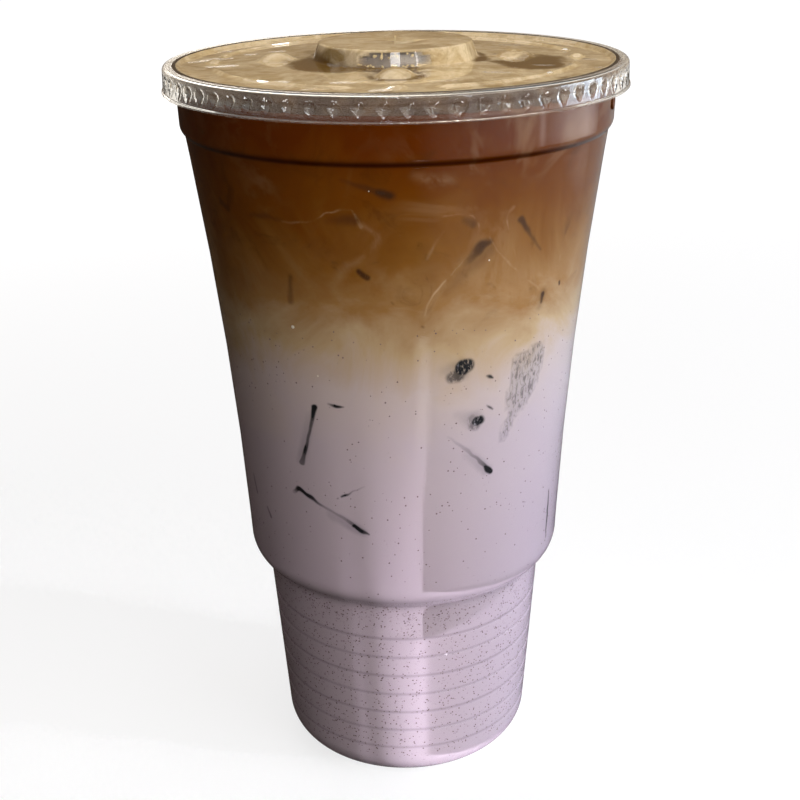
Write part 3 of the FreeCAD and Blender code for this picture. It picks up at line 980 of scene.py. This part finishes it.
def ice_values(points):
    """How much painted shade ice puts on the wall at points, where the drink's unlit inside shows
    through it, and how frosty it is there.
    """
    places = wall_places(points)
    uneven = ripple(points, 5.0, 21)
    dark = strongest(DARK_STROKES, places)[0]
    scratched = strongest(SCRATCHED_STROKES, places)[0]
    edge = FACE_EDGE.measure(places)[1]
    face = inside(FACE, places[0], places[1]) * np.clip(0.05 + edge / 1.6, 0, 0.62)
    frost = np.maximum((scratched > 0.3) * 0.42, (face > 0.05) * (1.0 + 0.2 * uneven))
    return np.max([dark, scratched, face], axis=0), np.clip(frost, 0, 1)


def make_drink(name, low, high, material_made, node):
    """A layer of the drink, with the painted shade where ice touches its side and the marks that cream
    leaves on it.
    """
    if low > 0:
        bottom = [[0, low], [drink_radius(low) - END_INSET, low]]
        side = stretch(low, high)
    else:
        inner = DRINK_SIDE[DRINK_SIDE[:, 1] < high - END_GAP]
        bottom = [inner[0] * [0, 1]]
        side = np.vstack([inner[1:], [[drink_radius(high), high]]])
    top = [[drink_radius(high) - END_INSET, high], [0, high]]
    profile = np.vstack([bottom, side, top])
    points, faces = revolved(profile, DRINK_COLUMNS)
    piece = shown(name, points, faces, material_made, [node])
    refined(piece)
    points = places_of(piece)
    ice, frost = ice_values(points)
    keep_values(piece, "ice", ice)
    keep_values(piece, "frost", frost)
    keep_values(piece, "cream", strongest(CREAM_STROKES, wall_places(points))[0])


def make_ice():
    """The chunks, just behind the drink's side except where they press the drink away."""
    points = []
    faces = []
    for chunk in ICE:
        world, chunk_faces = chunk.mesh()
        offset = sum(len(part) for part in points)
        faces += [[corner + offset for corner in face] for face in chunk_faces]
        radius = np.hypot(world[:, 0], world[:, 1])
        pressed = ice_values(world)[0] > 0.9
        limit = drink_radius(np.clip(world[:, 2], 10, CUP_HEIGHT)) + np.where(pressed, 0.05, -0.1)
        world[:, :2] *= np.minimum(1, limit / radius)[:, None]
        world[:, 2] = np.minimum(world[:, 2], COFFEE_LEVEL - 1)
        points.append(world)
    piece = shown("ice", np.vstack(points), faces, ice_material())
    merge(piece)
    places = places_of(piece)
    keep_values(piece, "coffee", np.clip((places[:, 2] - MILK_LEVEL) / 8 + 0.3, 0, 1))
    keep_values(piece, "frost", ice_values(places)[1])


def merge(piece):
    """The sides of each chunk joined along their edges."""
    work = bmesh.new()
    work.from_mesh(piece.data)
    bmesh.ops.remove_doubles(work, verts=work.verts, dist=0.02 * MM)
    work.to_mesh(piece.data)
    work.free()
    piece.data.shade_smooth()


# Lid: one sheet with the same columns all over, twice as many on the skirt

def lid_corners():
    """Corners of the lid's outside from its middle to the end of its lip."""
    return [
        (0, BOSS_TOP, 0),
        (BOSS_RADIUS - BOSS_TAPER, BOSS_TOP, BOSS_FILLET),
        (BOSS_RADIUS, PANEL_MIDDLE, BOSS_FILLET),
        (PANEL_RADIUS, PANEL_EDGE, PANEL_FILLET),
        (PANEL_RADIUS + PANEL_DEPTH, LID_TOP, PANEL_FILLET),
        (LID_RADIUS, LID_TOP, LID_EDGE_FILLET),
        (SKIRT_RADIUS, SKIRT_END + LIP_HEIGHT, LIP_FILLET),
        (SKIRT_RADIUS + LIP_WIDTH, SKIRT_END + LIP_HEIGHT / 2, LIP_FILLET),
        (SKIRT_RADIUS + LIP_WIDTH, SKIRT_END, 0),
    ]


def cap(distance, reach, rise):
    """The height of a round bump at a distance from its middle."""
    ball = (reach ** 2 + rise ** 2) / (2 * rise)
    height = np.sqrt(np.maximum(ball ** 2 - distance ** 2, 0)) - ball + rise
    return np.maximum(height, 0)


def relief(x, y):
    """How far the buttons, lugs and arcs rise above the panel."""
    height = np.zeros(len(x))
    for step in range(4):
        angle = step * math.pi / 2
        toward = (math.sin(angle), -math.cos(angle))
        button = np.hypot(x - BUTTON_CIRCLE * toward[0], y - BUTTON_CIRCLE * toward[1])
        height += cap(button, BUTTON_RADIUS, BUTTON_HEIGHT)
        lug = np.hypot(x - ARC_CIRCLE * toward[0], y - ARC_CIRCLE * toward[1])
        height += cap(lug, LUG_RADIUS, LUG_HEIGHT)
    pressed = np.hypot(x - BUTTON_CIRCLE, y)
    ball = (DIMPLE_RADIUS ** 2 + DIMPLE_DEPTH ** 2) / (2 * DIMPLE_DEPTH)
    bowl = BUTTON_HEIGHT - DIMPLE_DEPTH + ball - np.sqrt(np.maximum(ball ** 2 - pressed ** 2, 0))
    height = np.where(pressed < DIMPLE_RADIUS, np.minimum(height, bowl), height)
    azimuth = np.degrees(np.arctan2(x, -y)) % 90 - 45
    past = np.radians(np.maximum(np.abs(azimuth) - ARC_SWEEP / 2, 0)) * ARC_CIRCLE
    arc = np.hypot(np.hypot(x, y) - ARC_CIRCLE, past)
    return height + cap(arc, ARC_WIDTH / 2, ARC_HEIGHT)


def flute_depth(azimuth, height):
    """How far the skirt is scooped in: a teardrop, wide at its top and narrow at the lip."""
    pitch = TURN / FLUTE_COUNT
    aside = ((azimuth - math.pi / 2) % pitch - pitch / 2) * LID_RADIUS
    reach = math.sqrt(FLUTE_RADIUS ** 2 - (FLUTE_RADIUS - FLUTE_DEPTH) ** 2)
    top = LID_TOP - FLUTE_TOP_GAP - reach
    end = SKIRT_END + FLUTE_END_GAP
    share = np.clip((height - end) / (top - end), 0, 1)
    radius = FLUTE_TIP_RADIUS + (FLUTE_RADIUS - FLUTE_TIP_RADIUS) * share
    depth = FLUTE_TIP_DEPTH + (FLUTE_DEPTH - FLUTE_TIP_DEPTH) * share
    beyond = np.maximum(height - top, 0) + np.maximum(end - height, 0)
    across = radius ** 2 - aside ** 2 - beyond ** 2
    return np.maximum(np.sqrt(np.maximum(across, 0)) - (radius - depth), 0)


def slit_azimuths(radius, doubled):
    """A ring's azimuths: every quarter starts and ends at the edges of the crossed slits."""
    edge = math.asin(min(SLIT_WIDTH / 2 / radius, 0.7))
    quarter = np.linspace(edge, math.pi / 2 - edge, QUARTER_COLUMNS)
    azimuths = np.concatenate([quarter + step * math.pi / 2 for step in range(4)])
    if doubled:
        following = np.append(azimuths[1:], azimuths[0] + TURN)
        azimuths = np.stack([azimuths, (azimuths + following) / 2], axis=1).ravel()
    return azimuths


def with_arc_rings(points):
    """The lid's outline with closer points where the arcs stand up."""
    radii = ARC_CIRCLE + np.linspace(-0.5, 0.5, ARC_RINGS) * ARC_WIDTH
    start = int(np.argmax(points[:, 0] > radii[0]))
    heights = np.interp(radii, points[start - 1:start + 1, 0], points[start - 1:start + 1, 1])
    return np.vstack([points[:start], np.stack([radii, heights], axis=1), points[start:]])


def flap(x, y, radius):
    """How far each of the four flaps between the slits is bent down at its tip."""
    share = np.clip(1 - radius / SLIT_REACH, 0, 1) ** 1.5
    front_right = (x > 0) & (y < 0)
    back = (x < 0) & (y > 0)
    return share * (0.25 + 0.65 * front_right + 0.15 * back)


def make_lid():
    top = with_arc_rings(outline(lid_corners(), LID_ARC_STEP))
    top = top[top[:, 0] > SLIT_START]
    slit_rings = np.linspace(SLIT_START, SLIT_REACH, SLIT_RINGS)
    boss = [[radius, BOSS_TOP] for radius in slit_rings]
    rest = filled_in(np.vstack([[SLIT_REACH, BOSS_TOP], top]), PANEL_STEP)[1:]
    profile = np.vstack([boss, rest])
    on_edge = (profile[:, 0] > LID_RADIUS - LID_EDGE_WIDTH) & (profile[:, 1] > LID_TOP - 0.01)
    skirt_from = int(np.argmax(on_edge))
    skirt = filled_in(profile[skirt_from:], SKIRT_STEP)
    profile = np.vstack([profile[:skirt_from], skirt])
    under = moved_left(profile, -LID_WALL)
    low = profile[:, 1] < SKIRT_END + LIP_HEIGHT + 0.1
    under[low & (profile[:, 0] > LID_RADIUS), 0] = SKIRT_RADIUS - LID_WALL
    under[-1, 1] = SKIRT_END
    low_under = (under[:, 0] > LID_RADIUS - 1) & (under[:, 1] < SKIRT_END)
    under[low_under, 1] = SKIRT_END
    sheets = [lid_points(side, profile, skirt_from) for side in (profile, under)]
    faces = lid_faces(profile, skirt_from)
    points, faces = thickened(sheets, faces)
    plastic = clear_plastic("lid_plastic", (0.97, 0.92, 0.83), 0.04, 0.05)
    return shown("lid_shell", points, faces, plastic, ["lid"], 50.0)


def lid_points(side, profile, skirt_from):
    """One side of the lid's sheet, with its flutes, buttons, arcs and bent flaps."""
    rings = []
    for index, (radius, height) in enumerate(side):
        azimuths = slit_azimuths(profile[index, 0], index >= skirt_from)
        ring_radius = np.full(len(azimuths), radius)
        if radius > LID_RADIUS - 2:
            ring_radius -= flute_depth(azimuths, np.full(len(azimuths), height))
        ring = on_ring(ring_radius, height, azimuths)
        if BOSS_RADIUS + 0.5 < radius < PANEL_RADIUS:
            ring[:, 2] += relief(ring[:, 0], ring[:, 1])
        if radius < SLIT_REACH:
            ring[:, 2] -= flap(ring[:, 0], ring[:, 1], radius)
        rings.append(ring)
    return np.vstack(rings)


def ring_faces(start, count, slit=False):
    """Faces from one ring of points to the next, left out where the slits are."""
    columns = np.arange(count)
    if slit:
        columns = columns[columns % QUARTER_COLUMNS < QUARTER_COLUMNS - 1]
    following = (columns + 1) % count
    corners = [start + columns, start + count + columns]
    corners += [start + count + following, start + following]
    return np.stack(corners, axis=1).tolist()


def doubling_faces(start, count):
    """Faces from a ring of points to one with twice as many."""
    columns = np.arange(count)
    high = start + count
    corners = [start + columns, high + 2 * columns, high + 2 * columns + 1]
    corners += [high + (2 * columns + 2) % (2 * count), start + (columns + 1) % count]
    return np.stack(corners, axis=1).tolist()


def lid_faces(profile, skirt_from):
    """Faces between the rings, with twice the columns from the skirt's first ring on."""
    count = 4 * QUARTER_COLUMNS
    faces = []
    start = 0
    for index in range(1, len(profile)):
        if index == skirt_from:
            faces += doubling_faces(start, count)
        else:
            slit = profile[index, 0] <= SLIT_REACH + 1e-6
            faces += ring_faces(start, count, slit)
        start += count
        if index == skirt_from:
            count *= 2
    return faces


def thickened(sheets, faces):
    """A closed sheet: its two sides, joined wherever the faces leave an edge open."""
    shift = len(sheets[0])
    edges = dict.fromkeys(pair for face in faces for pair in zip(face, face[1:] + face[:1]))
    rims = [(a, b) for a, b in edges if (b, a) not in edges]
    walls = [[b, a, a + shift, b + shift] for a, b in rims]
    under = [[corner + shift for corner in reversed(face)] for face in faces]
    return np.vstack(sheets), faces + under + walls


# Foam

def foam_outline():
    """The foam's top, which reaches just into the lid's sheet, out to the cup's wall."""
    corners = lid_corners()[:5] + [(LID_RADIUS, LID_TOP, 0)]
    surface = moved_left(outline(corners, 0.3), INTO_WALL - LID_WALL)
    surface = surface[surface[:, 0] < BAND_TOP_RADIUS - CUP_WALL]
    surface[0, 0] = 0
    return filled_in(surface, FOAM_STEP)


def make_foam():
    surface = foam_outline()
    mouth = float(drink_radius(CUP_HEIGHT - 0.3))
    wall = [[mouth, surface[-1, 1] - 0.3], [float(drink_radius(COFFEE_LEVEL)), COFFEE_LEVEL]]
    wall = filled_in(np.array(wall), 0.25)
    profile = np.vstack([surface, wall, [[30, COFFEE_LEVEL], [0, COFFEE_LEVEL]]])[::-1]
    points, faces = revolved(profile, FOAM_COLUMNS)
    radius = np.hypot(points[:, 0], points[:, 1])
    azimuth = np.degrees(np.arctan2(points[:, 0], -points[:, 1]))
    on_top = points[:, 2] > PANEL_EDGE - 1.0
    panel = on_top & (radius > BOSS_RADIUS + 0.5) & (radius < PANEL_RADIUS - 0.5)
    points[:, 2] += np.where(panel, relief(points[:, 0], points[:, 1]), 0)
    pocket = window(azimuth, points[:, 2]) * (np.abs(radius - BOSS_RADIUS + 1) < 1.6)
    points[:, :2] *= (1 - pocket * 2.4 / np.maximum(radius, 1))[:, None]
    dents = np.clip(ripple(points, 9.0, 3) - 0.75, 0, 1) * panel
    points[:, 2] -= dents * 0.8
    piece = shown("foam_head", points, faces, foam_material(), ["foam"])
    keep_values(piece, "wet", wetness(points, radius, azimuth) * on_top)
    keep_values(piece, "pocket", pocket)
    below = np.clip((LID_TOP - 0.5 - points[:, 2]) / 0.3, 0, 1)
    keep_values(piece, "side", below * (radius > PANEL_RADIUS + 1.0))


def window(azimuth, height):
    """Where an air bubble lies behind the front of the boss's wall; the foam there is pushed back and
    greyed with painted shade.
    """
    aside = np.abs((azimuth + 1.0) / 27.0)
    up = np.abs((height - (PANEL_MIDDLE + 1.5)) / 1.7)
    return np.clip((1 - np.hypot(aside, up) ** 3) * 2.5, 0, 1)


# Wet patches: azimuth and its spread, radius and its spread, and strength
WET_PATCHES = [(-62, 30, 23.5, 4.5, 1.4), (-14, 26, 21.5, 2.2, 1.2), (72, 20, 34, 7.0, 1.3)]


def hump(values, middle, spread):
    return np.exp(-((values - middle) / spread) ** 2)


def wetness(points, radius, azimuth):
    """Where coffee has come up through the foam: in patches, at edges and in streaks."""
    uneven = ripple(points, 14.0, 8)
    button = np.hypot(points[:, 0], points[:, 1] + BUTTON_CIRCLE)
    whole = hump(button, 5.6, 1.5) * (0.5 + 0.5 * (radius > BUTTON_CIRCLE))
    for middle, sweep, out, width, strength in WET_PATCHES:
        whole += hump(azimuth, middle, sweep) * hump(radius, out, width) * strength
    whole += hump(radius, 48.5, 1.5) * np.clip(uneven, 0, 1) * 0.3
    whole += hump(radius, BOSS_RADIUS + 1.0, 1.5) * 0.6
    whole += np.clip(ripple(points, 20.0, 12) - 0.8, 0, 1) * 0.6
    return np.clip(whole * (0.8 + 0.5 * uneven), 0, 1)


def ball_mesh(detail):
    work = bmesh.new()
    bmesh.ops.create_icosphere(work, subdivisions=detail, radius=1)
    points = np.array([vert.co[:] for vert in work.verts])
    faces = [[vert.index for vert in face.verts] for face in work.faces]
    work.free()
    return points, faces


def scattered(name, spots, detail, material_made):
    """One mesh of many small balls, each (place, size outward, size along the wall)."""
    ball, ball_faces = ball_mesh(detail)
    points = []
    faces = []
    for index, (place, out, flat) in enumerate(spots):
        outward = unit(np.array([place[0], place[1], 0]))
        thin = ball * flat
        thin = thin + np.outer(thin @ outward, outward) * (out / flat - 1)
        points.append(thin + place)
        faces += [[corner + index * len(ball) for corner in face] for face in ball_faces]
    return shown(name, np.vstack(points), faces, material_made)


def make_specks():
    """Fine dark grounds against the wall, thickest in the base and under the shoulder."""
    draw = np.random.default_rng(11)
    spots = []
    while len(spots) < SPECK_COUNT:
        azimuth = draw.uniform(-180, 180)
        height = draw.uniform(8, 132)
        under = math.exp(-((height - BASE_HEIGHT + 1) / 4) ** 2)
        chance = 0.55 + 0.45 * under if height < BASE_HEIGHT + 3 else 0.08
        if draw.random() > chance:
            continue
        size = draw.uniform(0.10, 0.24)
        spots.append((on_wall(azimuth, height, -0.02), 0.05, size))
    grounds, tree, shader = material("grounds", Roughness=0.6)
    shades = mixed(tree, noise(tree, 420), (0.06, 0.035, 0.035, 1), (0.26, 0.17, 0.17, 1))
    paint(tree, shader, shades)
    scattered("milk_specks", spots, 1, grounds)


def make_beads():
    """A few tiny beads of froth on the wall, in the milk and in the coffee."""
    spots = [
        (on_wall(-32.0, 131.3, 0), 0.2, 0.42),
        (on_wall(-25.2, 119.8, 0), 0.1, 0.2),
        (on_wall(24.4, 147.6, 0), 0.1, 0.2),
        (on_wall(-7.0, 164.9, 0), 0.1, 0.14),
    ]
    froth, tree, shader = material("bead", Roughness=0.3)
    shades = mixed(tree, noise(tree, 900), (0.95, 0.90, 0.78, 1), (0.80, 0.70, 0.55, 1))
    paint(tree, shader, shades)
    scattered("froth_beads", spots, 3, froth)


def make_bubbles():
    """Foam bubbles round the air pocket and along the foot of the boss."""
    draw = np.random.default_rng(4)
    spots = []
    for _ in range(BUBBLE_COUNT):
        azimuth = draw.uniform(-70, 70)
        low = draw.random() < 0.6
        height = PANEL_MIDDLE + (draw.uniform(0.1, 0.8) if low else draw.uniform(2.4, 3.3))
        lean = BOSS_TAPER * (height - PANEL_MIDDLE) / (BOSS_TOP - PANEL_MIDDLE)
        radius = BOSS_RADIUS - lean - LID_WALL - 0.15
        size = draw.uniform(0.15, 0.42)
        spots.append((at(azimuth, radius, height - 0.3), size * 0.6, size))
    froth = material("froth", Base_Color=(0.66, 0.52, 0.27, 1), Roughness=0.3)[0]
    scattered("foam_bubbles", spots, 2, froth)


def make_drop():
    """A drop of coffee hanging under the lid, down the band on the right."""
    place = at(72, BAND_TOP_RADIUS - 0.1, SKIRT_END - 2.2)
    coffee = material("coffee_drop", Base_Color=(0.10, 0.025, 0.003, 1), Roughness=0.1)[0]
    ball, faces = ball_mesh(3)
    outward = unit(np.array([place[0], place[1], 0]))
    shape = ball * 1.1
    shape = shape + np.outer(shape @ outward, outward) * -0.55
    shape[:, 2] *= 2.2
    shape[:, :2] *= (1 - 0.25 * shape[:, 2:3] / 2.4)
    shown("coffee_drop", shape + place, faces, coffee)


# Studio

def on_sphere(azimuth, elevation, distance):
    a, e = math.radians(azimuth), math.radians(elevation)
    return Vector((math.sin(a) * math.cos(e), -math.cos(a) * math.cos(e), math.sin(e))) * distance


def lamp(name, azimuth, elevation, distance, size, level, colour, aim=0.1):
    """A soft lamp that alone lights a surface facing it to level times the surface's colour."""
    data = bpy.data.lights.new(name, "AREA")
    data.shape = "RECTANGLE"
    data.size, data.size_y = size
    data.energy = level * math.pi ** 2 * distance ** 2
    data.color = colour
    made = bpy.data.objects.new(name, data)
    target = Vector((0, 0, aim))
    made.location = target + on_sphere(azimuth, elevation, distance)
    made.visible_glossy = False
    made.rotation_euler = (made.location - target).to_track_quat("Z", "Y").to_euler()
    bpy.context.scene.collection.objects.link(made)
    return made


def glow(name, colour, strength, fading=False):
    """A card's light. One that fades turns clear where its solid value is 0."""
    made, tree, shader = material(name)
    made.cycles.emission_sampling = "NONE"
    tree.nodes.remove(shader)
    light = add(tree, "Emission", {0: (*colour, 1), 1: strength})
    if fading:
        clear = add(tree, "BsdfTransparent").outputs[0]
        inputs = {0: attribute(tree, "solid"), 1: clear, 2: light.outputs[0]}
        light = add(tree, "MixShader", inputs)
    finish(tree, light)
    return made


def card(name, points, faces, made):
    """A studio card that shows only in reflections."""
    piece = mesh_object(name, points, faces, made)
    for ray in ("camera", "diffuse", "transmission", "shadow"):
        setattr(piece, "visible_" + ray, False)
    return piece


def sector_card(name, azimuths, rings, made):
    """A card through parts of (radius, height) rings."""
    points = [on_ring(radius, height, np.radians(azimuths)) for radius, height in rings]
    count = len(azimuths)
    starts = [ring * count + a for ring in range(len(rings) - 1) for a in range(count - 1)]
    faces = [[a, a + 1, a + 1 + count, a + count] for a in starts]
    return card(name, np.vstack(points), faces, made)


def table_card(name, stops, rings, height, made):
    """A flat ring sector, solid by (azimuth, share) stops and (radius, share) rings."""
    steps = np.linspace(stops[0][0], stops[-1][0], SECTOR_STEPS)
    piece = sector_card(name, steps, [(radius, height) for radius, share in rings], made)
    along = np.interp(steps, *zip(*stops))
    keep_values(piece, "solid", np.concatenate([along * share for radius, share in rings]))
    return piece


def wall_card(name, azimuths, heights, radius, made):
    """A standing ring sector round the object."""
    steps = np.linspace(*azimuths, WALL_STEPS)
    sector_card(name, steps, [(radius, height) for height in heights], made)


def make_floor():
    """A pale floor that keeps the object's shadow and reads as white."""
    grey = (0.25, 0.25, 0.25, 1)
    made, tree, shader = material("floor", Base_Color=grey, Roughness=1.0, Specular_IOR_Level=0.0)
    away = add(tree, "VectorMath", {0: own_place(tree)}, operation="LENGTH").outputs["Value"]
    level = times(tree, ranged(tree, away, 0.2, 1.4, 0.76, 1.0), seen(tree))
    light = add(tree, "Emission", {0: (1, 1, 1, 1), 1: level})
    both = add(tree, "AddShader", {0: shader.outputs[0], 1: light.outputs[0]})
    finish(tree, both)
    corners = [(x * FLOOR_REACH, y * FLOOR_REACH, 0) for x, y in ((-1, -1), (1, -1), (1, 1), (-1, 1))]
    mesh_object("floor", corners, [[0, 1, 2, 3]], made)


def seen(tree):
    """1 for rays from the camera, off gloss and through glass, 0 for lighting."""
    path = add(tree, "LightPath").outputs
    either = maths(tree, "MAXIMUM", path["Is Camera Ray"], path["Is Glossy Ray"])
    either = maths(tree, "MAXIMUM", either, path["Is Transmission Ray"])
    direct = maths(tree, "LESS_THAN", path["Diffuse Depth"], 0.5)
    return times(tree, either, direct)


def make_world():
    world = bpy.data.worlds.new("studio")
    bpy.context.scene.world = world
    world.use_nodes = True
    tree = world.node_tree
    background = tree.nodes["Background"]
    colour = mixed(tree, seen(tree), (0.080, 0.060, 0.055, 1), (1, 1, 1, 1))
    tree.links.new(colour, background.inputs[0])


def glint_card(name, azimuths, radii, made, lid):
    """A low card beside the cup that only glints on the lid's flutes."""
    stops = [(azimuth, 1) for azimuth in azimuths]
    piece = table_card(name, stops, [(radius, 1) for radius in radii], GLINT_HEIGHT, made)
    only_lid = bpy.data.collections.new(name + "_lights")
    only_lid.objects.link(lid)
    piece.light_linking.receiver_collection = only_lid


def make_lamps():
    lamp("key", 56, 34, 1.1, (0.8, 0.8), 0.72, (0.97, 1.0, 1.04))
    lamp("side", 98, 2, 1.1, (0.6, 0.3), 0.34, (0.72, 0.93, 1.27))
    lamp("front", 16, 26, 1.3, (0.7, 0.5), 0.26, (1.0, 0.97, 0.95))
    lamp("back", 200, 28, 1.2, (0.8, 0.8), 0.34, (1.0, 0.98, 0.98))
    lamp("above", 180, 82, 1.2, (0.5, 0.5), 0.22, (1.0, 0.98, 0.94))
    low = lamp("low", 74, 4, 0.9, (0.08, 0.08), 0.024, (0.95, 0.95, 1.10), aim=0.005)
    low.data.spread = math.radians(14)


def make_table_cards():
    """The dark table that the cup reflects, with the light that windows leave on it."""
    dark_table = glow("dark_table", DARK_ROOM, 1.0, fading=True)
    edge_light = glow("edge_light", (1.0, 1.0, 1.0), 1.7, fading=True)
    right_light = glow("right_light", (1.0, 0.98, 0.97), 3.0, fading=True)
    shade = [(-200, 1), (8, 1), (20, 0.75), (36, 0.58), (100, 0.5), (160, 0.7)]
    edge = [(7, 0), (12, 1), (14, 1), (19, 0)]
    pane = [(30, 0), (60, 0.2), (74, 0.35), (77, 1), (80, 0.35), (95, 0.9), (112, 0.8), (126, 0)]
    table_card("table_dark", shade, [(0, 1), (1450, 1)], 0.5, dark_table)
    table_card("window_edge", edge, [(45, 1), (260, 1)], 1.0, edge_light)
    table_card("window_right", pane, [(450, 0), (760, 1), (1000, 1)], 1.0, right_light)
    table_card("table_near", [(-180, 1), (180, 1)], [(0, 1), (160, 1), (260, 0)], 1.5, dark_table)


def make_glints(lid):
    """Light on the lid's flutes, on the left, in front and on the right."""
    flute_light = glow("flute_light", (1.0, 0.98, 0.95), 18.0)
    glint_card("glint_left", (-78, -45), (90, 165), flute_light, lid)
    glint_card("glint_front", (-32, -18), (115, 175), flute_light, lid)
    glint_card("glint_right", (48, 75), (90, 165), flute_light, lid)


def make_room_cards():
    """The room's dark and brown walls, and two bright windows in it."""
    dark = glow("dark_card", DARK_ROOM, 1.0)
    brown = glow("brown_card", (0.20, 0.14, 0.09), 1.0)
    strip_light = glow("strip_light", (1.0, 1.0, 1.03), 9.0)
    spark = glow("spark", (1.0, 1.0, 1.0), 14.0)
    wall_card("room_dark", (24, -120), (0, 800), ROOM_RADIUS, dark)
    wall_card("room_brown", (-120, -250), (0, 1200), ROOM_RADIUS, brown)
    wall_card("room_right", (40, 110), (350, 1200), ROOM_RADIUS, brown)
    wall_card("window_strip", (31, 34), (150, 900), 900, strip_light)
    wall_card("window_front", (-8, 7), (600, 950), 950, spark)


def make_camera():
    data = bpy.data.cameras.new("camera")
    data.sensor_width = CAMERA_SENSOR
    data.lens = CAMERA_LENS
    camera = bpy.data.objects.new("camera", data)
    tilt = Matrix.Rotation(math.radians(CAMERA_TILT), 4, "X")
    roll = Matrix.Rotation(math.radians(CAMERA_ROLL), 4, "Z")
    aside = Matrix.Rotation(math.radians(CAMERA_ASIDE), 4, "Z")
    camera.matrix_world = Matrix.Translation(CAMERA_PLACE) @ aside @ tilt @ roll
    bpy.context.scene.collection.objects.link(camera)
    bpy.context.scene.camera = camera


make_cup()
drink = drink_material("drink")
make_drink("milk_layer", 0, MILK_LEVEL, drink, "milk")
make_drink("coffee_layer", MILK_LEVEL, COFFEE_LEVEL, drink, "coffee")
make_ice()
make_foam()
lid = make_lid()
make_specks()
make_beads()
make_bubbles()
make_drop()
make_world()
make_floor()
make_lamps()
make_table_cards()
make_glints(lid)
make_room_cards()
make_camera()
bpy.context.scene.view_settings.view_transform = "Standard"
